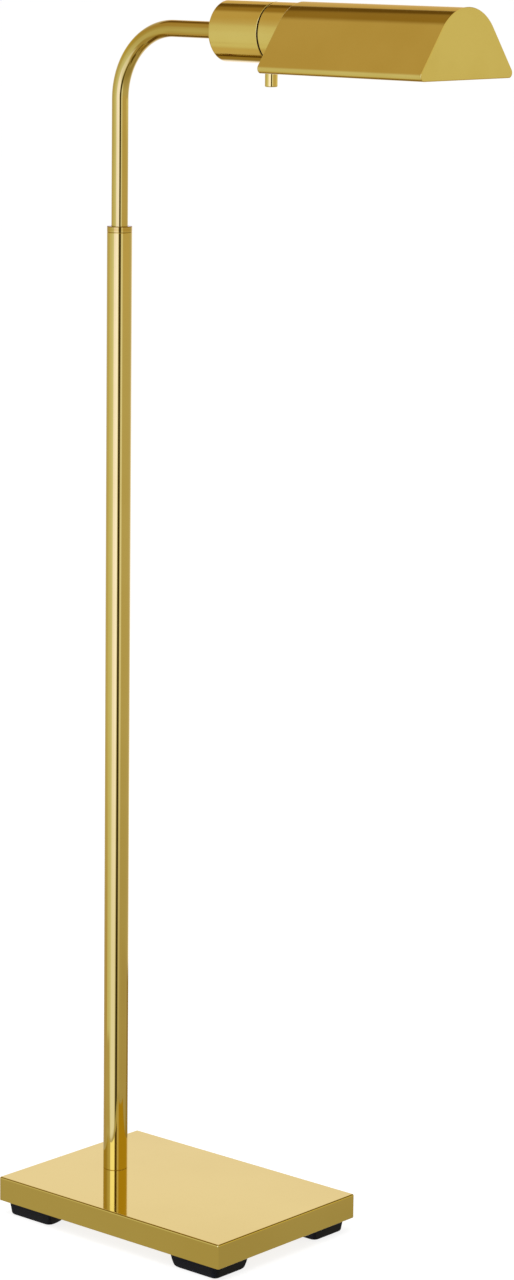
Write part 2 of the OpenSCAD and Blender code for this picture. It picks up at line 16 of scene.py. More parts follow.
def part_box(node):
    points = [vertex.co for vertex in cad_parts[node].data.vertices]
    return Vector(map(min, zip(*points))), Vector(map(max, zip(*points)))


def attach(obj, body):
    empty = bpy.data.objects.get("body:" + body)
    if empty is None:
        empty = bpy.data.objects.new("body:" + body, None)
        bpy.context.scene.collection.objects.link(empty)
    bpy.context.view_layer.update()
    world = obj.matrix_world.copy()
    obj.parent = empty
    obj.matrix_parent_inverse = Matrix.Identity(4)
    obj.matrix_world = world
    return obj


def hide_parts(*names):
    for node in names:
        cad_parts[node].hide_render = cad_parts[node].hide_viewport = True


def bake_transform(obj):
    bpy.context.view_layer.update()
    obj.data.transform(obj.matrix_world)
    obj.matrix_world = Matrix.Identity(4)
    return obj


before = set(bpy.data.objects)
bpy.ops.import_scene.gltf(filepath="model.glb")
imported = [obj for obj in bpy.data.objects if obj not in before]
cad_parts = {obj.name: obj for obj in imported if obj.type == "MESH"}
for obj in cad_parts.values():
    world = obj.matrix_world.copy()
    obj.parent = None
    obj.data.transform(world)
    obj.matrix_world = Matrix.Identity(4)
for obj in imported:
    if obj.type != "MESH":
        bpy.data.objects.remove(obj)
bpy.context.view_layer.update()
scene = bpy.context.scene
scene.view_settings.view_transform = "Standard"
MM = 0.001

# %% [markdown]
# ## The camera
# The lamp is seen from its front right, a little from above, through a long lens. A camera could
# be turned by three angles, but here it is given by where it stands and what it looks at, plus a
# small roll. With the automatic sensor fit, the sensor's width belongs to the picture's longer
# side, which is its height.

# %% Camera
PICTURE_H = 1280
FOCAL_PIXELS = 3852.85
SENSOR = 36.0
CAMERA_AT = Vector((1841.508, -2114.596, 1018.221)) * MM
CAMERA_AIM = Vector((2.67, 0.0, 471.48)) * MM
CAMERA_ROLL = math.radians(0.67)

camera = bpy.data.objects.new("camera", bpy.data.cameras.new("camera"))
scene.collection.objects.link(camera)
scene.camera = camera
camera.data.sensor_width = SENSOR
camera.data.lens = SENSOR * FOCAL_PIXELS / PICTURE_H
forward = (CAMERA_AIM - CAMERA_AT).normalized()
level = forward.cross(Vector((0, 0, 1))).normalized()
plumb = level.cross(forward)
right = level * math.cos(CAMERA_ROLL) + plumb * math.sin(CAMERA_ROLL)
up = plumb * math.cos(CAMERA_ROLL) - level * math.sin(CAMERA_ROLL)
turned = Matrix((right, up, -forward)).transposed().to_4x4()
camera.matrix_world = Matrix.Translation(CAMERA_AT) @ turned
print("lens:", round(camera.data.lens, 2), "mm")

# %% [markdown]
# ## Surfaces from rings
# Every new piece is a stack of rings: one parameter runs along the piece and the other round it.
# A turned piece is a profile spun about an axis, a tube is a circle carried along a path, and the
# plate and the feet are outlines that shrink and grow with height. One function joins the rings
# by quads. The profiles all run up the outside and down the inside, so the faces point outwards.

# %% Rings into meshes
SHARP_DEGREES = 32


def ring_faces(index, ends):
    """Faces over an array of vertex numbers, one row for each ring.

    A quad joins each point to its neighbours on the ring and on the next ring, and a ring's last
    point meets its first. With "loop" the last ring also meets the first.
    """
    here = index if ends == "loop" else index[:-1]
    after = np.roll(index, -1, 0) if ends == "loop" else index[1:]
    quads = np.stack([here, np.roll(here, -1, 1), np.roll(after, -1, 1), after], -1)
    return quads.reshape(-1, 4).tolist()


def mesh_piece(name, rings, ends="loop"):
    """An object from rings, an array of (rings, points, 3) in metres.

    Ends: "loop" joins the last ring to the first, "fan" closes the two end rings by a point at
    their middle, "flat" closes each by one face, and "open" leaves them.
    """
    count, points = rings.shape[:2]
    index = np.arange(count * points).reshape(count, points)
    vertices = rings.reshape(-1, 3)
    faces = ring_faces(index, ends)
    first, last = index[0], index[-1]
    if ends == "fan":
        middles = np.array([[count * points], [count * points + 1]]).repeat(points, 1)
        vertices = np.concatenate([vertices, rings[[0, -1]].mean(1)])
        faces += np.stack([middles[0], np.roll(first, -1), first], -1).tolist()
        faces += np.stack([middles[1], last, np.roll(last, -1)], -1).tolist()
    if ends == "flat":
        faces += [first[::-1].tolist(), last.tolist()]
    mesh = bpy.data.meshes.new(name)
    mesh.from_pydata(vertices.tolist(), [], faces)
    mesh.shade_smooth()
    mesh.set_sharp_from_angle(angle=math.radians(SHARP_DEGREES))
    made = bpy.data.objects.new(name, mesh)
    scene.collection.objects.link(made)
    return made


print("edges sharper than", SHARP_DEGREES, "degrees stay hard")

# %% Dressing a finished piece


def dress(piece, body, finish, slot, *nodes):
    """Gives a finished piece its material, the body that it rides on and the nodes it stands for."""
    piece.data.materials.append(finish)
    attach(piece, body)
    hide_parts(*nodes)
    print(piece.name, "on", body + ":", len(piece.data.polygons), "faces")
    return piece


# %% Arcs and turned pieces


def arc(centre, radius, start, end, steps):
    """Points on a circle: the centre plus radius times (cosine, sine) of angles in degrees."""
    turn = np.radians(np.linspace(start, end, steps + 1))
    return np.array(centre) + radius * np.stack([np.cos(turn), np.sin(turn)], -1)


def turned_piece(profile, origin, axis, points=192):
    """Rings of a turned piece, from profile rows of (radius, distance along the axis) in mm.

    Each ring is the origin, plus the distance along the axis, plus the radius times a unit circle
    across the axis.
    """
    radius, along = np.array(profile, float).T[:, :, None, None]
    x, y, z = np.eye(3)
    ahead, side, cross = {"X": (x, y, z), "Z": (z, x, y)}[axis]
    turn = np.linspace(0, 2 * np.pi, points, endpoint=False)[:, None]
    circle = np.cos(turn) * side + np.sin(turn) * cross
    return (np.array(origin) + along * ahead + radius * circle) * MM


print("a quarter arc of 8 steps has", len(arc((0, 0), 1, 0, 90, 8)), "points")

# %% Rounded outlines
CORNERS = np.array([(1, -1), (1, 1), (-1, 1), (-1, -1)])
RUN_END = 0.004


def rounded_outline(low, high, radii, along, across, steps):
    """An outline of (x, y) rows: four corner arcs inside a rectangle, joined by straight runs.

    An arc's centre is the rectangle's corner moved inwards by that corner's radius both ways. Each
    run has a point close to its ends, which keeps its shading flat.
    """
    corners = []
    for i, (toward, radius) in enumerate(zip(CORNERS, radii)):
        centre = np.where(toward > 0, high, low) - radius * toward
        corners.append(arc(centre, radius, -90 + 90 * i, 90 * i, steps))
    runs = []
    for i, points in enumerate(corners):
        share = np.linspace(0, 1, (along, across)[(i + 1) % 2] + 1)
        share[[0, -1]] = RUN_END, 1 - RUN_END
        share = share[:, None]
        runs += [points, points[-1] * (1 - share) + corners[(i + 1) % 4][0] * share]
    return np.concatenate(runs)


def rounded_rectangle(length, width, corner, inset, along=30, across=24, steps=8):
    """A rounded outline about the origin whose sides and corner radii are less by inset.

    The arcs keep their centres, so outlines of different insets have matching points.
    """
    reach = np.array([length, width]) / 2 - inset
    return rounded_outline(-reach, reach, [corner - inset] * 4, along, across, steps)


def circle_along(outline, middle, radius):
    """A circle about middle with a point in the direction of each point of an outline."""
    away = outline - middle
    return radius * away / np.linalg.norm(away, axis=1, keepdims=True) + middle


def at_height(outline, z):
    """A ring of (x, y, z) rows: the outline at height z."""
    return np.column_stack([outline, np.full(len(outline), z)])


print("a rounded rectangle has", len(rounded_rectangle(2, 1, 0.1, 0)), "points")

# %% [markdown]
# ## Finishes that share an effect
# Polished brass isn't one colour: the polishing wheel leaves faint lines and clouds, and hands
# leave dull marks. Moulded rubber and plastic have a fine grain. Each of these effects is a node
# group, made once, and each material sets its own values on it. The groups only put out colours,
# roughness and a height; the shader itself stays in each material. A few helpers make the nodes.

# %% Helpers for nodes
KINDS = {"value": "NodeSocketFloat", "colour": "NodeSocketColor", "vector": "NodeSocketVector"}


def effect_group(name, inputs, outputs):
    """A shader node group with named sockets; returns it with its input and output nodes."""
    group = bpy.data.node_groups.new(name, "ShaderNodeTree")
    for label, kind in inputs:
        group.interface.new_socket(label, in_out="INPUT", socket_type=KINDS[kind])
    for label, kind in outputs:
        group.interface.new_socket(label, in_out="OUTPUT", socket_type=KINDS[kind])
    return group, group.nodes.new("NodeGroupInput"), group.nodes.new("NodeGroupOutput")


def noise(tree, place, scale, detail=3.0):
    """A Noise Texture on the given vector; scale is a number or a socket."""
    made = tree.nodes.new("ShaderNodeTexNoise")
    made.inputs["Detail"].default_value = detail
    tree.links.new(place, made.inputs["Vector"])
    if isinstance(scale, (int, float)):
        made.inputs["Scale"].default_value = scale
    else:
        tree.links.new(scale, made.inputs["Scale"])
    return made.outputs["Fac"]


def remap(tree, value, low, high, to_low=0.0, to_high=1.0):
    """A Map Range node: value from low to high becomes to_low to to_high, smoothly."""
    made = tree.nodes.new("ShaderNodeMapRange")
    made.interpolation_type = "SMOOTHSTEP"
    tree.links.new(value, made.inputs["Value"])
    for label, end in zip(("From Min", "From Max", "To Min", "To Max"), (low, high, to_low, to_high)):
        if isinstance(end, (int, float)):
            made.inputs[label].default_value = end
        else:
            tree.links.new(end, made.inputs[label])
    return made.outputs["Result"]


def mix_colours(tree, share, first, second):
    """A Mix node on colours: first where share is 0, second where it is 1."""
    made = tree.nodes.new("ShaderNodeMix")
    made.data_type = "RGBA"
    tree.links.new(share, made.inputs[0])
    for socket, colour in ((made.inputs[6], first), (made.inputs[7], second)):
        if isinstance(colour, tuple):
            socket.default_value = colour
        else:
            tree.links.new(colour, socket)
    return made.outputs[2]


def combine(tree, kind, first, second):
    """A Math node of the given kind on two sockets or numbers."""
    made = tree.nodes.new("ShaderNodeMath")
    made.operation = kind
    for socket, value in zip(made.inputs, (first, second)):
        if isinstance(value, (int, float)):
            socket.default_value = value
        else:
            tree.links.new(value, socket)
    return made.outputs[0]


def combine_vectors(tree, kind, first, second):
    """A Vector Math node: "MULTIPLY" goes axis by axis, and "DOT_PRODUCT" gives one number."""
    made = tree.nodes.new("ShaderNodeVectorMath")
    made.operation = kind
    tree.links.new(first, made.inputs[0])
    tree.links.new(second, made.inputs[1])
    return made.outputs["Value" if kind == "DOT_PRODUCT" else "Vector"]


def put_out(group, group_out, **sockets):
    """Links sockets to the group's outputs of the same names."""
    for label, socket in sockets.items():
        group.links.new(socket, group_out.inputs[label])
    print("group:", group.name, "puts out", list(sockets))


print("socket kinds:", list(KINDS))

# %% Polishing marks
LINE_DETAIL, LINE_DULLNESS, LINE_HEIGHT = 4.0, 0.5, 0.03
PRINT_SCALE, PRINT_DETAIL, PRINT_FROM, PRINT_TO = 46.0, 5.0, 0.52, 0.74
WARM_FROM, WARM_TO = 0.35, 0.7
polish_group, polish_in, polish_out = effect_group(
    "polish_marks",
    [("Place", "vector"), ("Wheel Lines", "vector"), ("Tone", "colour"), ("Warm Tone", "colour"),
     ("Clouds", "value"), ("Bright", "value"), ("Dull", "value")],
    [("Colour", "colour"), ("Roughness", "value"), ("Height", "value")])
clouds = noise(polish_group, polish_in.outputs["Place"], polish_in.outputs["Clouds"])
drawn_out = combine_vectors(polish_group, "MULTIPLY", polish_in.outputs["Place"],
                            polish_in.outputs["Wheel Lines"])
lines = noise(polish_group, drawn_out, 1.0, LINE_DETAIL)
hands = noise(polish_group, polish_in.outputs["Place"], PRINT_SCALE, PRINT_DETAIL)
prints = remap(polish_group, hands, PRINT_FROM, PRINT_TO)
warmth = remap(polish_group, clouds, WARM_FROM, WARM_TO)
tone = mix_colours(polish_group, warmth, polish_in.outputs["Tone"], polish_in.outputs["Warm Tone"])
line_marks = combine(polish_group, "MULTIPLY", lines, LINE_DULLNESS)
marks = combine(polish_group, "MAXIMUM", prints, line_marks)
dullness = remap(polish_group, marks, 0.0, 1.0, polish_in.outputs["Bright"], polish_in.outputs["Dull"])
height = combine(polish_group, "ADD", clouds, combine(polish_group, "MULTIPLY", lines, LINE_HEIGHT))
put_out(polish_group, polish_out, Colour=tone, Roughness=dullness, Height=height)

# %% Moulded grain
GRAIN_DETAIL, PATCH_SCALE, PATCH_DETAIL = 2.0, 60.0, 4.0
DUST_FROM, DUST_TO = 0.2, 0.42
PATCH_FROM, PATCH_TO = 0.3, 0.7
grain_group, grain_in, grain_out = effect_group(
    "moulded_grain",
    [("Place", "vector"), ("Tone", "colour"), ("Dusty Tone", "colour"), ("Grain", "value"),
     ("Bright", "value"), ("Dull", "value")],
    [("Colour", "colour"), ("Roughness", "value"), ("Height", "value")])
grains = noise(grain_group, grain_in.outputs["Place"], grain_in.outputs["Grain"], GRAIN_DETAIL)
patches = noise(grain_group, grain_in.outputs["Place"], PATCH_SCALE, PATCH_DETAIL)
dusting = remap(grain_group, combine(grain_group, "MULTIPLY", grains, patches), DUST_FROM, DUST_TO)
tone = mix_colours(grain_group, dusting, grain_in.outputs["Tone"], grain_in.outputs["Dusty Tone"])
dullness = remap(grain_group, patches, PATCH_FROM, PATCH_TO, grain_in.outputs["Bright"],
                 grain_in.outputs["Dull"])
put_out(grain_group, grain_out, Colour=tone, Roughness=dullness, Height=grains)

# %% [markdown]
# ## Painted shade
# Some brass is painted darker in bands that stand for shade and dark reflections: along the plate's
# top edge, round the collar and over the bent tube. A band could be painted on the mesh's points,
# but then it would be no finer than the mesh. This group measures the place along one direction
# instead, and so needs no points: the tint is whole from Start to End, and eases away over the width
# of Fade on both sides.

# %% Painted shade bands
WHITE = (1.0, 1.0, 1.0, 1.0)
shade_band_group, shade_band_in, shade_band_out = effect_group(
    "paint_shade_band",
    [("Place", "vector"), ("Direction", "vector"), ("Colour", "colour"), ("Tint", "colour"),
     ("Start", "value"), ("End", "value"), ("Fade", "value")],
    [("Colour", "colour")])
reached = combine_vectors(shade_band_group, "DOT_PRODUCT", shade_band_in.outputs["Place"],
                          shade_band_in.outputs["Direction"])
short_of = combine(shade_band_group, "SUBTRACT", shade_band_in.outputs["Start"], reached)
past = combine(shade_band_group, "SUBTRACT", reached, shade_band_in.outputs["End"])
outside = combine(shade_band_group, "MAXIMUM", short_of, past)
cover = remap(shade_band_group, outside, shade_band_in.outputs["Fade"], 0.0)
veil = mix_colours(shade_band_group, cover, WHITE, shade_band_in.outputs["Tint"])
shade_band_colour = combine_vectors(shade_band_group, "MULTIPLY", shade_band_in.outputs["Colour"], veil)
put_out(shade_band_group, shade_band_out, Colour=shade_band_colour)

# %% [markdown]
# ## The brass
# All the brass is polished to a mirror, so its look is mostly what it reflects; its own colour
# only tints that. A full metallic shader does this, and grows paler at grazing angles by itself.
# The finishes differ in how the pieces were made: the plate is lapped flat, the tubes are drawn,
# the cup and the knob have faint rings about their axes, the shade's sheet is slightly wavy, and
# the brass inside the lamp is worn. Some pieces are painted a little lighter or darker than the same
# brass, as painted light and shade, and the bent tube has painted shade from its bend to the cup.

# %% Brass materials
BRASS = (0.632, 0.47, 0.107)
BRASS_WARM = (0.612, 0.45, 0.097)


def shaded(name, group, values, bump_height, **plain):
    """A material: one effect group on Object coordinates, a bump and a Principled shader.

    values go on the group's inputs and plain ones straight on the shader's own sockets.
    """
    finish = bpy.data.materials.new(name)
    finish.use_nodes = True
    tree = finish.node_tree
    shader = tree.nodes["Principled BSDF"]
    place = tree.nodes.new("ShaderNodeTexCoord")
    effect = tree.nodes.new("ShaderNodeGroup")
    effect.node_tree = group
    tree.links.new(place.outputs["Object"], effect.inputs["Place"])
    for label, value in values.items():
        effect.inputs[label].default_value = value
    bump = tree.nodes.new("ShaderNodeBump")
    bump.inputs["Distance"].default_value = bump_height
    tree.links.new(effect.outputs["Height"], bump.inputs["Height"])
    tree.links.new(effect.outputs["Colour"], shader.inputs["Base Color"])
    tree.links.new(effect.outputs["Roughness"], shader.inputs["Roughness"])
    tree.links.new(bump.outputs["Normal"], shader.inputs["Normal"])
    for label, value in plain.items():
        shader.inputs[label.replace("_", " ")].default_value = value
    return finish


def polished(name, tone, warm, wheel_lines, clouds, gloss, bump_height):
    """A polished metal, gloss being its lowest and highest roughness.

    Its faint lines are close together along the axes that have large numbers in wheel_lines.
    """
    values = {"Wheel Lines": wheel_lines, "Tone": tone + (1.0,), "Warm Tone": warm + (1.0,),
              "Clouds": clouds, "Bright": gloss[0], "Dull": gloss[1]}
    return shaded(name, polish_group, values, bump_height, Metallic=1.0)


def brass(name, wheel_lines, clouds, bump_height, gloss, painted_brightness=1.0):
    """Polished brass; the last argument scales its colour, which paints some pieces lighter or darker
    as painted light and shade.
    """
    tone, warm = (tuple(painted_brightness * c for c in colour) for colour in (BRASS, BRASS_WARM))
    return polished(name, tone, warm, wheel_lines, clouds, gloss, bump_height)


# Each row: wheel lines, clouds, bump height in metres, lowest and highest roughness, and a scale on
# the colour that paints the piece lighter or darker.
lapped_brass = brass("lapped_brass", (40, 2500, 40), 9.0, 0.00001, (0.035, 0.06))
drawn_brass = brass("drawn_brass", (30, 30, 2200), 14.0, 0.000006, (0.045, 0.075))
# Painted shade and light: the bent tube's colour is scaled down, and the knob's, the cup's and the
# shade collar's up.
bent_brass = brass("bent_brass", (30, 30, 2200), 14.0, 0.000008, (0.045, 0.075), 0.95)
knob_brass = brass("knob_brass", (30, 30, 2200), 30.0, 0.000006, (0.05, 0.08), 1.06)
cross_turned_brass = brass("cross_turned_brass", (2600, 30, 30), 22.0, 0.000008, (0.06, 0.1), 1.08)
sheet_brass = brass("sheet_brass", (1400, 60, 60), 24.0, 0.00003, (0.06, 0.1))
worn_brass = brass("worn_brass", (300, 300, 300), 60.0, 0.00003, (0.18, 0.34))


def paint_shade_band(finish, direction, start, end, fade, tint):
    """Puts a band of painted shade before a finish's Base Color; start, end and fade are in mm."""
    tree = finish.node_tree
    base = tree.nodes["Principled BSDF"].inputs["Base Color"]
    effect = tree.nodes.new("ShaderNodeGroup")
    effect.node_tree = shade_band_group
    values = {"Direction": direction, "Tint": tint + (1.0,), "Start": start * MM, "End": end * MM,
              "Fade": fade * MM}
    for label, value in values.items():
        effect.inputs[label].default_value = value
    tree.links.new(tree.nodes["Texture Coordinate"].outputs["Object"], effect.inputs["Place"])
    tree.links.new(base.links[0].from_socket, effect.inputs["Colour"])
    tree.links.new(effect.outputs["Colour"], base)


# Painted shade: the tube is browner and darker from the middle of its bend to the cup.
BEND_SHADE_START, BEND_SHADE_END, BEND_SHADE_FADE, BEND_SHADE_TINT = -112.0, 0.0, 25.0, (0.86, 0.79, 0.64)
paint_shade_band(bent_brass, (1, 0, 0), BEND_SHADE_START, BEND_SHADE_END, BEND_SHADE_FADE, BEND_SHADE_TINT)
print("brass:", [m.name for m in bpy.data.materials if m.name.endswith("_brass")])

# %% [markdown]
# ## The other finishes
# The feet are soft black rubber with a fine moulded grain and a trace of dust, and the dark seam
# behind the shade is a fibre washer. Inside the lamp are zinc-plated steel, white nylon, dark
# phenolic, glazed porcelain, a rolled aluminium bulb cap and an opal bulb. Most of these hardly
# show, but they do from below and when the lamp is opened. All of them take the two groups above.

# %% Rubber, steel, plastics, porcelain and glass


def moulded(name, tone, dusty, grain, gloss, bump_height, **plain):
    """A moulded material with grain, gloss being its lowest and highest roughness."""
    values = {"Tone": tone + (1.0,), "Dusty Tone": dusty + (1.0,), "Grain": grain,
              "Bright": gloss[0], "Dull": gloss[1]}
    return shaded(name, grain_group, values, bump_height, **plain)


# Each row: tone, dusty tone, grain, lowest and highest roughness, bump height in metres.
foot_rubber = moulded("foot_rubber", (0.0042, 0.0046, 0.0052), (0.009, 0.0095, 0.0105), 1400.0,
                      (0.5, 0.66), 0.00006, Specular_IOR_Level=0.16)
dark_fibre = moulded("dark_fibre", (0.016, 0.007, 0.002), (0.022, 0.010, 0.003), 900.0,
                     (0.6, 0.8), 0.00003, Specular_IOR_Level=0.05)
black_plastic = moulded("black_plastic", (0.012, 0.012, 0.013), (0.02, 0.02, 0.022), 1800.0,
                        (0.38, 0.55), 0.00003)
flex_jacket = moulded("flex_jacket", (0.018, 0.016, 0.014), (0.03, 0.028, 0.025), 900.0,
                      (0.34, 0.5), 0.00003)
white_nylon = moulded("white_nylon", (0.72, 0.7, 0.63), (0.66, 0.63, 0.55), 700.0,
                      (0.36, 0.5), 0.00002)
dark_phenolic = moulded("dark_phenolic", (0.03, 0.017, 0.01), (0.05, 0.03, 0.02), 500.0,
                        (0.2, 0.36), 0.00002)
glazed_porcelain = moulded("glazed_porcelain", (0.84, 0.82, 0.77), (0.8, 0.77, 0.71), 160.0,
                           (0.1, 0.2), 0.00002, Coat_Weight=0.4)
opal_glass = moulded("opal_glass", (0.93, 0.93, 0.91), (0.9, 0.9, 0.88), 90.0,
                     (0.16, 0.28), 0.00002, Coat_Weight=0.3)
plated_steel = polished("plated_steel", (0.58, 0.6, 0.63), (0.52, 0.52, 0.52), (500, 500, 500), 120.0,
                        (0.24, 0.42), 0.00002)
rolled_aluminium = polished("rolled_aluminium", (0.72, 0.72, 0.71), (0.66, 0.66, 0.65), (2200, 60, 60),
                            90.0, (0.22, 0.36), 0.00002)
print("finishes:", len(bpy.data.materials))

# %% [markdown]
# ## Dressing the hidden hardware
# The pieces that CAD already shapes well keep their solids. Studs, washers, bushes, screws, the
# switch and the lampholder only need a finish, so a table names the material of each one.

# %% Finishes for the solids that stay
NODE_FINISHES = {
    plated_steel: ["foot_screws", "pole_stud", "pole_washer", "pole_nut", "arm_stop_clip",
                   "head_stud", "cup_nut", "holder_strap", "strap_screws", "swivel_spigot",
                   "wave_washer", "retaining_clip", "switch_shaft", "knob_grub_screw",
                   "collar_rivets"],
    worn_brass: ["pole_plug", "arm_end_plug", "screw_shell", "centre_contact"],
    black_plastic: ["cord_inlet", "bulb_tip"],
    dark_fibre: ["seam_washer"],
    flex_jacket: ["base_flex", "arm_flex"],
    white_nylon: ["collar_bush", "slide_bush", "switch_rotor", "swivel_bush"],
    dark_phenolic: ["switch_housing", "lampholder_body"],
    glazed_porcelain: ["lampholder_sleeve"],
}
for finish, names in NODE_FINISHES.items():
    for name in names:
        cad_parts[name].data.materials.clear()
        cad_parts[name].data.materials.append(finish)
print("solids dressed:", sum(map(len, NODE_FINISHES.values())))

# %% [markdown]
# ## The base plate
# The plate is a thick brass slab with softly rounded upper edges, bored for the stud that clamps
# the pole, with a well underneath for its nut. A cube with a bevel would do for the slab alone.
# Here one stack of rings makes all of it: from the bore, out along the well and the underside, up
# the edge, back over the flat top to the bore. The rings are outlines of the slab at different
# insets, and circles about the pole whose points lie in the same directions as the outline's. A thin
# dark line painted along the rounded top edge stands for the dark reflection there.

# %% Base plate
PLATE_L, PLATE_W = 229.0, 158.0
PLATE_LOW, PLATE_TOP = 11.0, 30.0
PLATE_MIDDLE = (-74.1, 0.0)
PLATE_EDGE, PLATE_CORNER, PLATE_ARRIS = 1.3, 1.6, 0.4
POLE_X = -138.6
BORE_R, WELL_R, WELL_TOP = 5.03, 13.0, 22.0
FLAT_MARGIN = 0.5
PAINTED_EDGE_Z, PAINTED_EDGE_FADE, PAINTED_EDGE_TINT = PLATE_TOP - 0.32, 0.31, (0.3, 0.26, 0.08)


def plate_ring(inset, z):
    """The slab's outline at an inset, at height z, in mm."""
    return at_height(rounded_rectangle(PLATE_L, PLATE_W, PLATE_CORNER, inset) + PLATE_MIDDLE, z)


def bore_ring(radius, z):
    """A circle about the pole, at height z, whose points match the slab's outline."""
    return at_height(circle_along(plate_ring(0, z)[:, :2], (POLE_X, 0), radius), z)


arris = arc((PLATE_ARRIS, PLATE_LOW + PLATE_ARRIS), PLATE_ARRIS, 270, 180, 3)
edge = arc((PLATE_EDGE, PLATE_TOP - PLATE_EDGE), PLATE_EDGE, 180, 90, 10)
plate_rings = [bore_ring(BORE_R, WELL_TOP), bore_ring(WELL_R, WELL_TOP), bore_ring(WELL_R, PLATE_LOW),
               plate_ring(PLATE_ARRIS + FLAT_MARGIN, PLATE_LOW)]
wall = [(0, arris[-1, 1] + FLAT_MARGIN), (0, edge[0, 1] - FLAT_MARGIN)]
plate_rings += [plate_ring(inset, z) for inset, z in np.concatenate([arris, wall, edge])]
plate_rings += [plate_ring(PLATE_EDGE + FLAT_MARGIN / 2, PLATE_TOP), bore_ring(BORE_R, PLATE_TOP)]
base_plate = mesh_piece("plate", np.array(plate_rings) * MM)
# Painted reflection: a thin dark line along the rounded top edge.
paint_shade_band(lapped_brass, (0, 0, 1), PAINTED_EDGE_Z, PAINTED_EDGE_Z, PAINTED_EDGE_FADE, PAINTED_EDGE_TINT)
dress(base_plate, "base", lapped_brass, "polished_brass", "base_plate")

# %% [markdown]
# ## The feet
# Each foot is a rubber block that follows the plate's corner outside and is strongly rounded
# towards the plate's middle. It narrows downwards and rolls under to its sole, with a recess for
# the screw that holds it. It is made like the plate: outlines that shrink towards the floor, then
# circles that go up into the recess. Its place comes from the box of its solid.

# %% Rubber feet
FOOT_L, FOOT_W, FOOT_H = 47.0, 38.0, 11.0
FOOT_CORNER, FOOT_END, FOOT_INNER = 6.5, 2.0, 30.0
SIDE_INSET, SOLE_INSET, SOLE_ROLL = 1.5, 3.8, 2.6
END_DRAW, END_GROWTH, END_ROLL = 0.6, 3.5, 6.5
RECESS_R, RECESS_TOP, RECESS_LIP = 4.1, 5.4, 0.5
FOOT_TOP_EDGE = 0.6


def foot_ring(middle, inset, under, z):
    """The foot's outline at height z, in mm: its sides move in by inset.

    under is 1 at the sole and 0 higher up. The corner that faces the plate's middle has the large
    radius. The two ends beside it draw in a little towards the sole, and their outer corners grow
    rounder there.
    """
    outward = np.sign(middle - PLATE_MIDDLE)
    reach = np.array([FOOT_L, FOOT_W]) / 2 - inset
    draw = END_DRAW * under
    radii = np.array([FOOT_INNER - inset - draw, FOOT_END + END_GROWTH * under, FOOT_CORNER - inset])
    outline = rounded_outline(np.where(outward < 0, -reach, draw - reach),
                              np.where(outward > 0, reach, reach - draw),
                              radii[(CORNERS == outward).sum(1)], along=10, across=8, steps=10)
    return at_height(outline + middle, z)


def recess_ring(middle, radius, z):
    """A circle about the foot's middle, at height z, whose points match the foot's outline."""
    return at_height(circle_along(foot_ring(middle, 0, 0, z)[:, :2], middle, radius), z)


def rolled_under(heights, roll):
    """1 on the floor and 0 from the height roll upwards: one less a quarter ellipse's width there."""
    return 1 - np.sqrt(1 - np.clip(1 - heights / roll, 0, 1) ** 2)


rim = arc((FOOT_TOP_EDGE, FOOT_H - FOOT_TOP_EDGE), FOOT_TOP_EDGE, 180, 90, 4)
rim = np.insert(rim, 1, 0.0, axis=1)
roll = SOLE_ROLL * (1 - np.cos(np.linspace(0, np.pi / 2, 9)))
heights = np.concatenate([roll, np.linspace(SOLE_ROLL, END_ROLL, 8)[1:]])
lean = SIDE_INSET * np.clip((rim[0, 2] - heights) / (rim[0, 2] - SOLE_ROLL), 0, 1)
rolled = (SOLE_INSET - SIDE_INSET) * rolled_under(heights, SOLE_ROLL)
sole = np.stack([lean + rolled, rolled_under(heights, END_ROLL), heights], -1)
for name in ("foot_rear_right", "foot_rear_left", "foot_front_right", "foot_front_left"):
    middle = np.mean(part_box(name), axis=0)[:2] / MM
    rings = [recess_ring(middle, RECESS_R, RECESS_TOP), recess_ring(middle, RECESS_R, RECESS_LIP),
             recess_ring(middle, RECESS_R + RECESS_LIP, 0.0)]
    rings += [foot_ring(middle, *row) for row in np.concatenate([sole, rim])]
    foot = mesh_piece("rubber_" + name, np.array(rings) * MM, "fan")
    dress(foot, "base", foot_rubber, "foot_rubber", name)

# %% [markdown]
# ## The pole and its collar
# The pole is a plain drawn tube, and a short collar closes its top. Both are profiles spun about
# the pole's axis, each with a tiny bevel at its ends, because a real edge always catches a line
# of light or dark. That line is what shows where one piece ends and the next begins. Painted shade
# darkens the joint under the collar, a painted line of shade and dark reflection marks the corner
# on top of it, and the collar itself is a little darker. Blender's own cylinder with a Bevel modifier
# would come close, but a profile also gives the bore and the spigot that goes into the pole.

# %% Pole and collar
POLE_R, POLE_IN_R = 9.5, 8.3
POLE_LOW, POLE_TOP, COLLAR_TOP = 30.0, 764.0, 768.6
TUBE_BEVEL = 0.35
ARM_R, ARM_IN_R = 6.25, 5.25
COLLAR_BORE, COLLAR_SPIGOT, COLLAR_LOW = 6.55, 8.27, 758.0
# Each row: height, fade and tint of a darker band: painted shade in the joint under the collar, painted
# shade and reflection at its top corner, and a darker band over the collar.
COLLAR_SHADE_LINES = [(POLE_TOP, 0.9, (0.8, 0.72, 0.5)), (COLLAR_TOP, 1.2, (0.36, 0.21, 0.02)),
               (COLLAR_TOP - 2.3, 2.6, (0.84, 0.75, 0.56))]


def bevelled(radius, low, high, bevel):
    """Profile rows up the outside of a tube whose two ends are rounded by bevel.

    The wall has a ring close to each bevel. Without these the bevels' normals would be blended
    along the whole wall, and a mirror shows that at once.
    """
    wall = [(radius, low + bevel + FLAT_MARGIN), (radius, high - bevel - FLAT_MARGIN)]
    return np.concatenate([arc((radius - bevel, low + bevel), bevel, -90, 0, 6), wall,
                           arc((radius - bevel, high - bevel), bevel, 0, 90, 6)])


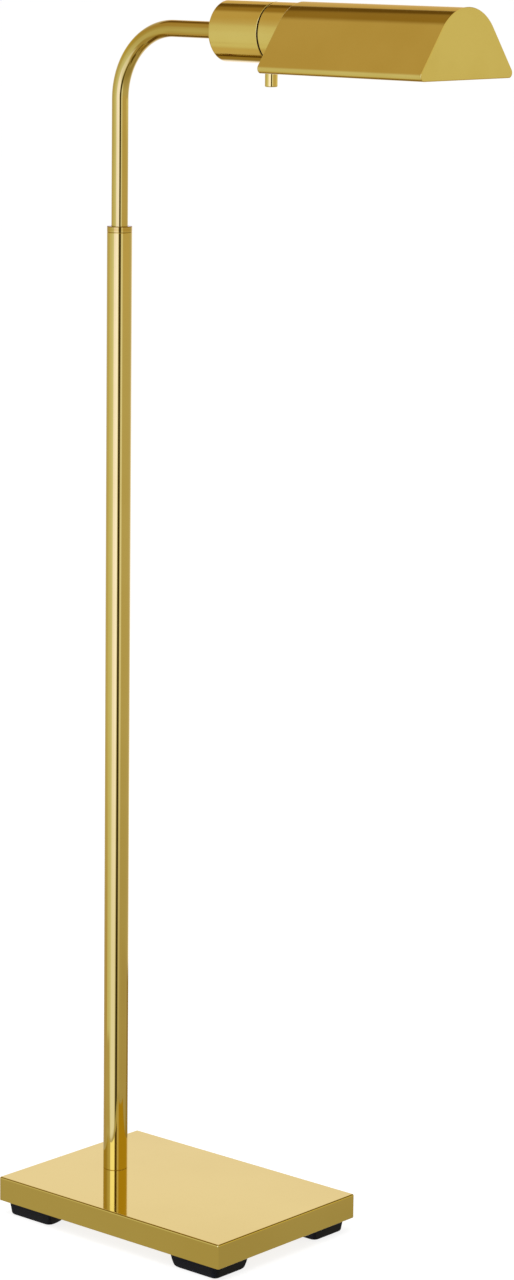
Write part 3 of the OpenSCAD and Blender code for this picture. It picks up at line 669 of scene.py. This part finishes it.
pole_profile = [*bevelled(POLE_R, POLE_LOW, POLE_TOP, TUBE_BEVEL), (POLE_IN_R, POLE_TOP),
                (POLE_IN_R, POLE_LOW)]
pole = mesh_piece("pole", turned_piece(pole_profile, (POLE_X, 0, 0), "Z"))
dress(pole, "base", drawn_brass, "polished_brass", "pole_tube")
collar_profile = [(COLLAR_BORE, COLLAR_LOW), (COLLAR_SPIGOT, COLLAR_LOW), (COLLAR_SPIGOT, POLE_TOP),
                  *bevelled(POLE_R, POLE_TOP, COLLAR_TOP, TUBE_BEVEL), (COLLAR_BORE, COLLAR_TOP)]
collar = mesh_piece("collar", turned_piece(collar_profile, (POLE_X, 0, 0), "Z"))
for height, fade, tint in COLLAR_SHADE_LINES:
    paint_shade_band(drawn_brass, (0, 0, 1), height, height, fade, tint)
dress(collar, "base", drawn_brass, "polished_brass", "pole_collar")

# %% [markdown]
# ## The bent tube
# The arm is one tube that rises out of the pole, bends through a quarter circle and runs level to
# the cup. A curve with a round bevel would make a tube too, but without the groove of its stop clip.
# So a circle is carried along the path. Since the path lies in one upright plane, each ring needs
# only the path's direction: one axis of the circle is across the plane, and the other is in it,
# square to the path. The rings go up outside and come back inside, so the tube has a wall.

# %% Arm tube
ARM_LOW, ARM_Z, CUP_X = 348.1, 916.6, -32.1
BEND_R, BEND_STEPS, BEND_MARGIN = 53.5, 60, 2.0
CLIP_LOW, CLIP_HIGH, CLIP_BITE = 373.7, 374.7, 0.4


def arm_rings(rows, points=96):
    """Rings along the arm, from rows of (x, z, degrees turned from upright, radius) in mm.

    At a turn t the path runs along (sin t, 0, cos t), and the ring is the path's point plus the
    radius times (cosine of the angle round it times (cos t, 0, -sin t), plus its sine times Y).
    """
    x, z, turn, radius = np.array(rows, float).T[:, :, None]
    turn = np.radians(turn)
    around = np.linspace(0, 2 * np.pi, points, endpoint=False)[None]
    out = radius * np.cos(around)
    return np.stack([x + out * np.cos(turn), radius * np.sin(around) + 0 * turn,
                     z - out * np.sin(turn)], -1) * MM


def arm_path(radius):
    """Path rows for one wall of the tube: the rise, the bend and the run to the cup."""
    turn = np.linspace(0, 90, BEND_STEPS + 1)
    quarter = arc((POLE_X + BEND_R, ARM_Z - BEND_R), BEND_R, 180, 90, BEND_STEPS)
    rise = [(POLE_X, z, 0, radius) for z in (ARM_LOW, ARM_Z - BEND_R - BEND_MARGIN)]
    run = [(x, ARM_Z, 90, radius) for x in (POLE_X + BEND_R + BEND_MARGIN, CUP_X)]
    bend = np.column_stack([quarter, turn, np.full(len(turn), radius)]).tolist()
    return rise + bend + run


groove = [(POLE_X, z, 0, r) for z, r in ((CLIP_LOW, ARM_R), (CLIP_LOW, ARM_R - CLIP_BITE),
                                         (CLIP_HIGH, ARM_R - CLIP_BITE), (CLIP_HIGH, ARM_R))]
outside, inside = arm_path(ARM_R), arm_path(ARM_IN_R)
arm = mesh_piece("arm", arm_rings(outside[:1] + groove + outside[1:] + inside[::-1]))
dress(arm, "arm", bent_brass, "polished_brass", "arm_tube")

# %% [markdown]
# ## The cup, and the collar of the shade
# The cup hides the switch and the lampholder, and the shade turns on it: a dark seam runs between
# the two. Both are turned pieces about the arm's axis, so each one is a profile spun about X. The
# Screw modifier does the same, but it leaves a seam to merge, and a mirror would show the seam.

# %% Cup and shade collar
ARM_AXIS = (0, 0, ARM_Z)
CUP_R, CUP_IN_R, CUP_FRONT, CUP_BACK = 22.2, 21.0, 14.3, 1.6
CUP_EDGE, SEAM_BEVEL, STUD_HOLE = 1.4, 0.25, 5.25
RING_X, SHADE_X, RING_FLANGE, HOLDER_HOLE = 15.7, 40.6, 1.2, 17.7

cup_profile = np.concatenate([
    [(STUD_HOLE, CUP_X), (CUP_R - CUP_EDGE - FLAT_MARGIN, CUP_X)],
    arc((CUP_R - CUP_EDGE, CUP_X + CUP_EDGE), CUP_EDGE, -90, 0, 9),
    [(CUP_R, CUP_X + CUP_EDGE + FLAT_MARGIN), (CUP_R, CUP_FRONT - SEAM_BEVEL - FLAT_MARGIN)],
    arc((CUP_R - SEAM_BEVEL, CUP_FRONT - SEAM_BEVEL), SEAM_BEVEL, 0, 90, 4),
    [(CUP_IN_R, CUP_FRONT), (CUP_IN_R, CUP_X + CUP_BACK), (STUD_HOLE, CUP_X + CUP_BACK)]])
cup = mesh_piece("cup", turned_piece(cup_profile, ARM_AXIS, "X", 256))
dress(cup, "arm", cross_turned_brass, "polished_brass", "socket_cup")
ring_profile = np.concatenate([
    [(CUP_IN_R, RING_X)],
    arc((CUP_R - SEAM_BEVEL, RING_X + SEAM_BEVEL), SEAM_BEVEL, -90, 0, 4),
    [(CUP_R, RING_X + SEAM_BEVEL + FLAT_MARGIN), (CUP_R, SHADE_X), (HOLDER_HOLE, SHADE_X),
     (HOLDER_HOLE, SHADE_X - RING_FLANGE), (CUP_IN_R, SHADE_X - RING_FLANGE)]])
ring = mesh_piece("shade_ring", turned_piece(ring_profile, ARM_AXIS, "X", 256))
dress(ring, "shade", cross_turned_brass, "polished_brass", "shade_collar")

# %% [markdown]
# ## The shade
# The shade is a folded sheet: a round ridge, two straight leaning sides and rolled hems, closed by
# two flat ends. A box could be bevelled into it, but then its curves would be guessed. Its outline
# is three arcs whose ends are joined by straight lines, and every arc keeps its centre when the
# outline is inset, so the inner face of the sheet and the rounded rims of the ends all come from
# one function.

# %% Shade sheet
SHADE_FRONT, RIDGE_Z, SHADE_H = 188.6, 939.9, 49.8
RIDGE_R, SIDE_LEAN, HEM_R, HEM_LIP, SHEET_T = 35.3, 36.5, 3.6, 3.0, 1.0
lean = math.radians(SIDE_LEAN)
hem_z = -SHADE_H + HEM_R
side_drop = RIDGE_R * (math.sin(lean) - 1) - hem_z - HEM_R * math.sin(lean)
hem_y = (RIDGE_R - HEM_R) * math.cos(lean) + side_drop * math.tan(lean)


def straight(start, end):
    """Two points just inside a straight run, which keep its shading flat."""
    run = (end - start) / np.linalg.norm(end - start)
    return np.array([start + run * FLAT_MARGIN, end - run * FLAT_MARGIN])


def shade_outline(inset):
    """Rows of (y, z) from one hem over the ridge to the other, with z from the ridge down."""
    near = arc((hem_y, hem_z), HEM_R - inset, -90, SIDE_LEAN, 24)
    top = arc((0, -RIDGE_R), RIDGE_R - inset, SIDE_LEAN, 180 - SIDE_LEAN, 108)
    far = arc((-hem_y, hem_z), HEM_R - inset, 180 - SIDE_LEAN, 270, 24)
    return np.concatenate([near, straight(near[-1], top[0]), top, straight(top[-1], far[0]), far])


def across_shade(outline, x):
    """A ring that stands across the arm at x, in mm."""
    return np.column_stack([np.full(len(outline), x), outline[:, 0], outline[:, 1] + RIDGE_Z])


mouth = hem_y - HEM_LIP
lips = np.array([[-mouth, -SHADE_H], [-mouth, SHEET_T - SHADE_H],
                 [mouth, SHEET_T - SHADE_H], [mouth, -SHADE_H]])
sheet = np.concatenate([shade_outline(0), lips[:2], shade_outline(SHEET_T)[::-1], lips[2:]])
sheet_ends = (SHADE_X + SHEET_T, SHADE_FRONT - SHEET_T)
shade = mesh_piece("shade", np.array([across_shade(sheet, x) for x in sheet_ends]) * MM, "flat")
dress(shade, "shade", sheet_brass, "polished_brass", "shade_body")

# %% Shade ends
REAR_RIM, FRONT_RIM, SQUARE_RIM = 0.9, 0.35, 0.02


def end_rings(x_low, x_high, low_rim, high_rim):
    """Rings of a flat end: outlines whose inset follows a quarter circle at each rim."""
    low = arc((low_rim, x_low + low_rim), low_rim, 270, 180, 6)
    high = arc((high_rim, x_high - high_rim), high_rim, 180, 90, 6)
    rows = [(low_rim + FLAT_MARGIN, x_low), *low, *high, (high_rim + FLAT_MARGIN, x_high)]
    return np.array([across_shade(shade_outline(inset), x) for inset, x in rows]) * MM


front = end_rings(SHADE_FRONT - SHEET_T, SHADE_FRONT, SQUARE_RIM, FRONT_RIM)
front_end = mesh_piece("shade_front", front, "fan")
dress(front_end, "shade", sheet_brass, "polished_brass", "shade_front_cap")
rear = end_rings(SHADE_X, SHADE_X + SHEET_T, REAR_RIM, SQUARE_RIM)
hole = circle_along(rear[-1, :, 1:], np.array([0, ARM_Z]) * MM, HOLDER_HOLE * MM)
hole_rings = [np.column_stack([np.full(len(hole), x * MM), hole]) for x in (SHADE_X + SHEET_T, SHADE_X)]
rear_end = mesh_piece("shade_rear", np.concatenate([rear, hole_rings]))
dress(rear_end, "shade", sheet_brass, "polished_brass", "shade_rear_cap")

# %% [markdown]
# ## The switch knob
# A small turned knob hangs under the cup and turns the switch. It is a profile spun about its own
# upright axis, with rounded ends and a blind bore for the shaft, like the pole and the cup before.

# %% Knob
KNOB_X, KNOB_R, KNOB_LOW, KNOB_TOP, KNOB_EDGE = 10.1, 4.65, 878.0, 891.5, 0.8
SHAFT_R, SHAFT_LOW = 2.03, 882.5
knob_profile = [(KNOB_R / 2, KNOB_LOW), *bevelled(KNOB_R, KNOB_LOW, KNOB_TOP, KNOB_EDGE),
                (SHAFT_R, KNOB_TOP), (SHAFT_R, SHAFT_LOW)]
knob = mesh_piece("knob", turned_piece(knob_profile, (KNOB_X, 0, 0), "Z", 96), "fan")
dress(knob, "knob", knob_brass, "polished_brass", "switch_knob")

# %% [markdown]
# ## The bulb
# A tubular opal bulb lies along the shade, seen from below. Its glass is one profile from the tip
# inside back to the neck and forward again outside. The cap's thread is a true screw: the radius
# follows a cosine of the distance along the cap less the angle round it.

# %% Bulb
GLASS_X, BULB_L, BULB_R, GLASS_T = 42.96, 112.0, 14.5, 0.8
NECK_R, NECK_L, SHOULDER_L = 12.0, 4.0, 8.0
CAP_X, CAP_L, CAP_R = 22.96, 20.0, 12.75
THREAD, THREAD_PITCH, THREAD_START, THREAD_END, THREAD_FADE = 0.25, 3.6, 1.0, 17.0, 2.0


def glass_profile(inset):
    """Rows from the neck over the shoulder to the tip's dome, the wall moved in by inset."""
    dome = arc((0, GLASS_X + BULB_L - BULB_R), BULB_R - inset, 0, 88, 24)
    shoulder = np.linspace(0, 1, 9)[:, None]
    ease = shoulder ** 2 * (3 - 2 * shoulder)
    flare = np.hstack([NECK_R - inset + (BULB_R - NECK_R) * ease,
                       GLASS_X + NECK_L + SHOULDER_L * shoulder])
    return np.concatenate([[(NECK_R - inset, GLASS_X)], flare, dome])


bulb_profile = np.concatenate([glass_profile(GLASS_T)[::-1], glass_profile(0)])
bulb = mesh_piece("bulb", turned_piece(bulb_profile, ARM_AXIS, "X", 96), "fan")
dress(bulb, "arm", opal_glass, "frosted_glass", "bulb_glass")

# %% Bulb cap
along = np.linspace(0, CAP_L, 121)[:, None]
around = np.linspace(0, 2 * np.pi, 72, endpoint=False)[None]
fade = np.clip(np.minimum(along - THREAD_START, THREAD_END - along) / THREAD_FADE, 0, 1)
radius = CAP_R - THREAD + THREAD * fade * np.cos(2 * np.pi * along / THREAD_PITCH - around)
cap_rings = np.stack([CAP_X + along + 0 * around, radius * np.cos(around),
                      ARM_Z + radius * np.sin(around)], -1) * MM
bulb_cap = mesh_piece("bulb_screw_cap", cap_rings, "fan")
dress(bulb_cap, "arm", rolled_aluminium, "cap_aluminium", "bulb_cap")

# %% [markdown]
# ## The coil of flex in the pole
# A curled flex takes up the slack inside the pole while the arm slides. It could be a curve with a
# round bevel. Here it is a mesh, a circle carried along a helix. In the lamp its foot stays with the
# base and its top follows the sliding bush, so the coil stretches when the arm slides.

# %% Coiled flex
COIL_LOW, COIL_TOP, COIL_R, FLEX_R = 61.0, 345.8, 4.55, 2.4
COIL_TURNS, RINGS_A_TURN = 28, 24


def coil_rings(points=12):
    """Rings along a helix: each circle lies across the helix's direction at its point."""
    turn = np.linspace(0, 2 * np.pi * COIL_TURNS, COIL_TURNS * RINGS_A_TURN)[:, None]
    rise = (COIL_TOP - COIL_LOW - 2 * FLEX_R) / (2 * np.pi * COIL_TURNS)
    zero = np.zeros_like(turn)
    outward = np.concatenate([np.cos(turn), np.sin(turn), zero], 1)
    ahead = np.concatenate([-COIL_R * np.sin(turn), COIL_R * np.cos(turn), zero + rise], 1)
    ahead /= np.linalg.norm(ahead, axis=1, keepdims=True)
    middle = COIL_R * outward + np.array([POLE_X, 0, COIL_LOW + FLEX_R])
    middle[:, 2:] += rise * turn
    around = np.linspace(0, 2 * np.pi, points, endpoint=False)[None, :, None]
    across = np.cross(ahead, outward)[:, None]
    circle = np.cos(around) * outward[:, None] + np.sin(around) * across
    return (middle[:, None] + FLEX_R * circle) * MM


coil = mesh_piece("flex_coil", coil_rings(), "fan")
coil.data.materials.append(flex_jacket)
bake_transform(coil)
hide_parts("coiled_flex")
print("coil:", COIL_TURNS, "turns,", len(coil.data.polygons), "faces")

# %% [markdown]
# ## The floor and the plain light
# The lamp stands on a white floor before a white background. The world is white to the camera and
# to mirror rays, and lights matt surfaces at a plain level. The floor is matt, so it keeps the
# lamp's soft shadow, with enough of its own light to the camera to stay white elsewhere. From
# below it is clear, so that the underside can be looked at.

# %% White world
WORLD_FILL = 0.5


def background_share(tree):
    """1 for camera, glossy and transmission rays, and 0 for the others."""
    path = tree.nodes.new("ShaderNodeLightPath")
    seen = combine(tree, "MAXIMUM", path.outputs["Is Camera Ray"], path.outputs["Is Glossy Ray"])
    return combine(tree, "MAXIMUM", seen, path.outputs["Is Transmission Ray"])


world = bpy.data.worlds.new("white_studio")
world.use_nodes = True
scene.world = world
tree = world.node_tree
background = tree.nodes["Background"]
background.inputs["Color"].default_value = WHITE
strength = remap(tree, background_share(tree), 0, 1, WORLD_FILL, 1.0)
tree.links.new(strength, background.inputs["Strength"])
print("world:", world.name, "fills shadows at", WORLD_FILL)

# %% Floor
FLOOR_GLOW, FLOOR_TONE, FLOOR_HALF = 0.83, 0.35, 40.0


def bare_material(name):
    """A material whose node tree is empty, and that tree."""
    finish = bpy.data.materials.new(name)
    finish.use_nodes = True
    finish.node_tree.nodes.clear()
    return finish, finish.node_tree


def show_either(tree, share, first, second):
    """The material's surface: the first shader where share is 0, and the second where it is 1."""
    either = tree.nodes.new("ShaderNodeMixShader")
    for socket, source in zip(either.inputs, (share, first, second)):
        tree.links.new(source, socket)
    out = tree.nodes.new("ShaderNodeOutputMaterial")
    tree.links.new(either.outputs[0], out.inputs["Surface"])


floor_finish, tree = bare_material("white_floor")
matt = tree.nodes.new("ShaderNodeBsdfDiffuse")
matt.inputs["Color"].default_value = (FLOOR_TONE, FLOOR_TONE, FLOOR_TONE, 1)
glow = tree.nodes.new("ShaderNodeEmission")
tree.links.new(combine(tree, "MULTIPLY", background_share(tree), FLOOR_GLOW), glow.inputs["Strength"])
both = tree.nodes.new("ShaderNodeAddShader")
tree.links.new(matt.outputs[0], both.inputs[0])
tree.links.new(glow.outputs[0], both.inputs[1])
side = tree.nodes.new("ShaderNodeNewGeometry")
clear = tree.nodes.new("ShaderNodeBsdfTransparent")
show_either(tree, side.outputs["Backfacing"], both.outputs[0], clear.outputs[0])

floor_corners = np.array([(-1, -1, 0), (1, -1, 0), (1, 1, 0), (-1, 1, 0)]) * FLOOR_HALF
floor_mesh = bpy.data.meshes.new("floor")
floor_mesh.from_pydata(floor_corners.tolist(), [], [[0, 1, 2, 3]])
floor = bpy.data.objects.new("floor", floor_mesh)
scene.collection.objects.link(floor)
floor_mesh.materials.append(floor_finish)
floor.visible_glossy = False
print("floor:", 2 * FLOOR_HALF, "m wide")

# %% Lamps
LAMPS = {"overhead": ((0.2, -0.6, 3.0), 2.4, 38.0), "left": ((-2.6, -1.6, 1.8), 1.6, 16.0)}
LAMPS_AIM = Vector((0, 0, 0.4))
for name, (place, size, power) in LAMPS.items():
    lamp = bpy.data.objects.new(name, bpy.data.lights.new(name, "AREA"))
    lamp.data.size = size
    lamp.data.energy = power
    lamp.location = place
    lamp.rotation_euler = (LAMPS_AIM - lamp.location).to_track_quat("-Z", "Y").to_euler()
    lamp.visible_glossy = False
    scene.collection.objects.link(lamp)
print("lamps:", list(LAMPS))

# %% [markdown]
# ## Cards for the brass to reflect
# Polished metal shows the room, and a room that is white all round makes brass look like yellow
# plaster. Photographers hang cards and flags round such an object: pale ones for long bright
# bands, dark ones for thin lines that give it an edge. Here a wide dome carries them as patches
# with soft edges, worked out for all its points at once, and only mirror rays see it. Where no
# card hangs, the dome is clear and the white world shows. A second surface lies on the floor round
# the plate, because the pole's foot and the plate's sides mirror the floor close by.

# %% Cards on the dome
# Each card: middle azimuth and half width, middle elevation and half height, soft edges, colour.
# Azimuth 0 is the lamp's right side and grows towards its front; the camera stands at 41.
CARDS = {
    "ground": (0, 180, -50, 50.5, 1, 2, (0.71, 0.68, 0.66)),
    "low_ground": (0, 180, -52, 36, 1, 14, (0.61, 0.57, 0.53)),
    "deep_ground": (0, 180, -62, 32, 1, 14, (0.64, 0.58, 0.48)),
    "right_ground": (115, 58, -46, 17, 24, 14, (0.49, 0.44, 0.35)),
    # The card straight below is dark: a painted shadow of the lamp on the floor, seen in the brass.
    "nadir_shadow": (0, 180, -80, 12, 1, 12, (0.26, 0.17, 0.08)),
    "back_upper": (-138, 16, 29.5, 11.5, 10, 4, (0.78, 0.58, 0.27)),
    "back_sweep": (-150, 28, -3.5, 21.5, 14, 4, (1.17, 1.15, 1.26)),
    "back_low": (-155, 18, -33, 11, 12, 8, (1.1, 1.1, 1.2)),
    "back_foot": (-150, 24, -66, 9, 14, 8, (0.20, 0.11, 0.04)),
    "left_wall": (-75, 38, 20, 60, 26, 12, (0.72, 0.685, 0.55)),
    "left_gold": (-86, 22, 20, 8, 16, 6, (0.74, 0.65, 0.25)),
    "left_fill": (-62, 26, 42, 18, 14, 14, (0.69, 0.565, 0.39)),
    "left_floor": (-50, 14, -20, 24, 26, 14, (0.86, 0.90, 0.92)),
    "low_left": (-79, 26, -22, 6, 12, 6, (0.63, 0.54, 0.45)),
    "low_fill": (-78, 15, -41, 7, 14, 6, (0.76, 0.66, 0.50)),
    "low_flag": (-92, 34, -59, 12, 16, 3, (0.42, 0.30, 0.10)),
    "low_dark": (-88, 44, -69, 11, 20, 6, (0.17, 0.10, 0.02)),
    "low_edge": (-118, 12, -38, 8, 8, 5, (0.38, 0.27, 0.08)),
    "low_core": (-103, 6, -45, 4, 3, 3, (0.13, 0.07, 0.01)),
    "ceiling_flag": (-111, 30, 56, 15, 18, 3, (0.40, 0.27, 0.09)),
    "ceiling_core": (-118, 18, 45.5, 4.5, 10, 4, (0.18, 0.105, 0.02)),
    "front_glow": (-6, 30, 10, 42, 44, 16, (0.97, 1.12, 1.6)),
    "strip_low": (10, 20, -26, 18, 12, 14, (1.2, 1.36, 2.9)),
    "bright_strip": (9, 19, 16, 31, 12, 10, (1.47, 1.6, 4.3)),
    "bright_edge": (20, 10, 10, 25, 6, 10, (1.52, 1.76, 4.8)),
    "strip_top": (12, 20, 32, 23, 12, 8, (2.15, 2.8, 7.0)),
    "right_skirt": (108, 38, 3, 7, 14, 3, (0.76, 0.68, 0.58)),
    "right_wall": (124, 54, 19, 9.5, 14, 3, (0.87, 0.74, 0.15)),
    "camera_flag": (45, 9.5, -8, 22, 5, 10, (0.06, 0.05, 0.03)),
    "flag_upper": (45, 9.5, 27, 16, 5, 10, (0.13, 0.085, 0.02)),
    "flag_low": (48, 9, -40, 14, 6, 10, (0.20, 0.17, 0.06)),
    "flag_foot": (62, 28, -64, 8, 20, 8, (0.16, 0.12, 0.03)),
    "right_strip": (64, 7, 12, 30, 11, 16, (1.12, 1.25, 2.1)),
    "edge_flag": (178, 22, 37, 10, 10, 6, (0.18, 0.12, 0.03)),
    "cap_card": (146, 14, 4.75, 4.25, 10, 2, (0.91, 0.92, 0.87)),
}
print("cards on the dome:", len(CARDS))

# %% Cards on the ground
# On the ground the third and fourth numbers are metres out from the plate's edge.
GROUND_CARDS = {
    # The first two cards are a painted shadow: the ground close round the plate, darker where the plate
    # shades it.
    "shadow_by_plate": (0, 180, 0, 0.095, 1, 0.02, (0.60, 0.57, 0.50)),
    "shadow_by_front": (105, 45, 0, 0.095, 20, 0.02, (0.545, 0.515, 0.45)),
    "left_near": (-46, 18, 0.23, 0.14, 14, 0.06, (0.66, 0.61, 0.57)),
    "right_near": (135, 40, 0.31, 0.24, 24, 0.1, (0.60, 0.55, 0.50)),
    "behind_near": (195, 26, 0.31, 0.28, 16, 0.1, (0.42, 0.32, 0.14)),
}
print("cards on the ground:", len(GROUND_CARDS))

# %% Painting the cards
LEAST_COVER = 1e-6


def soft_band(distance, half, soft):
    """1 within half of the middle, easing to 0 over the soft width, as a smooth step."""
    t = np.clip((half - np.abs(distance)) / soft + 0.5, 0, 1)
    return t * t * (3 - 2 * t)


def paint_cards(cards, azimuth, level):
    """Colour and cover at each point: every card is laid over the ones before it.

    A card's share is its soft band round the azimuth times its soft band along the level, which
    is the elevation on the dome and the distance from the plate on the ground.
    """
    paint = np.zeros(np.broadcast_shapes(azimuth.shape, level.shape) + (3,))
    cover = np.zeros(paint.shape[:2] + (1,))
    for mid_a, half_a, mid_l, half_l, soft_a, soft_l, colour in cards.values():
        turn_away = (azimuth - mid_a + 180) % 360 - 180
        share = soft_band(turn_away, half_a, soft_a) * soft_band(level - mid_l, half_l, soft_l)
        share = share[..., None]
        paint += share * (np.array(colour) - paint)
        cover += share * (1 - cover)
    return np.concatenate([paint / np.maximum(cover, LEAST_COVER), cover], -1)


card_finish, tree = bare_material("card_light")
painted = tree.nodes.new("ShaderNodeAttribute")
painted.attribute_name = "card"
glow = tree.nodes.new("ShaderNodeEmission")
tree.links.new(painted.outputs["Color"], glow.inputs["Color"])
clear = tree.nodes.new("ShaderNodeBsdfTransparent")
show_either(tree, painted.outputs["Alpha"], clear.outputs[0], glow.outputs[0])
print("card material:", card_finish.name)

# %% Hanging the cards
DOME_R, DOME_MIDDLE, DOME_TOP = 5.0, (0.0, 0.0, 0.5), 88
GROUND_REACH, GROUND_LIFT = 0.7, 0.0005


def hang_cards(name, rings, colours):
    """A card surface that only mirror rays see, painted point by point with colour and cover."""
    cards = mesh_piece(name, rings, "open")
    cards.data.attributes.new("card", "FLOAT_COLOR", "POINT").data.foreach_set(
        "color", colours.astype(np.float32).ravel())
    cards.data.materials.append(card_finish)
    cards.visible_camera = cards.visible_diffuse = cards.visible_shadow = False
    cards.visible_transmission = cards.visible_volume_scatter = False
    print(name, "has", len(cards.data.vertices), "painted points")


azimuth = np.linspace(-180, 180, 720, endpoint=False)[None]
elevation = np.linspace(-DOME_TOP, DOME_TOP, 2 * DOME_TOP + 1)[:, None]
a, e = np.radians(azimuth), np.radians(elevation)
dome_rings = np.stack([np.sin(a) * np.cos(e), -np.cos(a) * np.cos(e), np.sin(e) + 0 * a], -1)
hang_cards("studio_dome", dome_rings * DOME_R + DOME_MIDDLE, paint_cards(CARDS, azimuth, elevation))

margin = np.linspace(0, GROUND_REACH, 71)
ground = np.array([rounded_rectangle(PLATE_L, PLATE_W, PLATE_CORNER, -m / MM, steps=30)
                   for m in margin]) * MM
lift = np.full(ground.shape[:2] + (1,), GROUND_LIFT)
ground_rings = np.concatenate([ground + np.array(PLATE_MIDDLE) * MM, lift], -1)
ground_turn = np.degrees(np.arctan2(ground[..., 0], -ground[..., 1]))
hang_cards("ground_card", ground_rings, paint_cards(GROUND_CARDS, ground_turn, margin[:, None]))
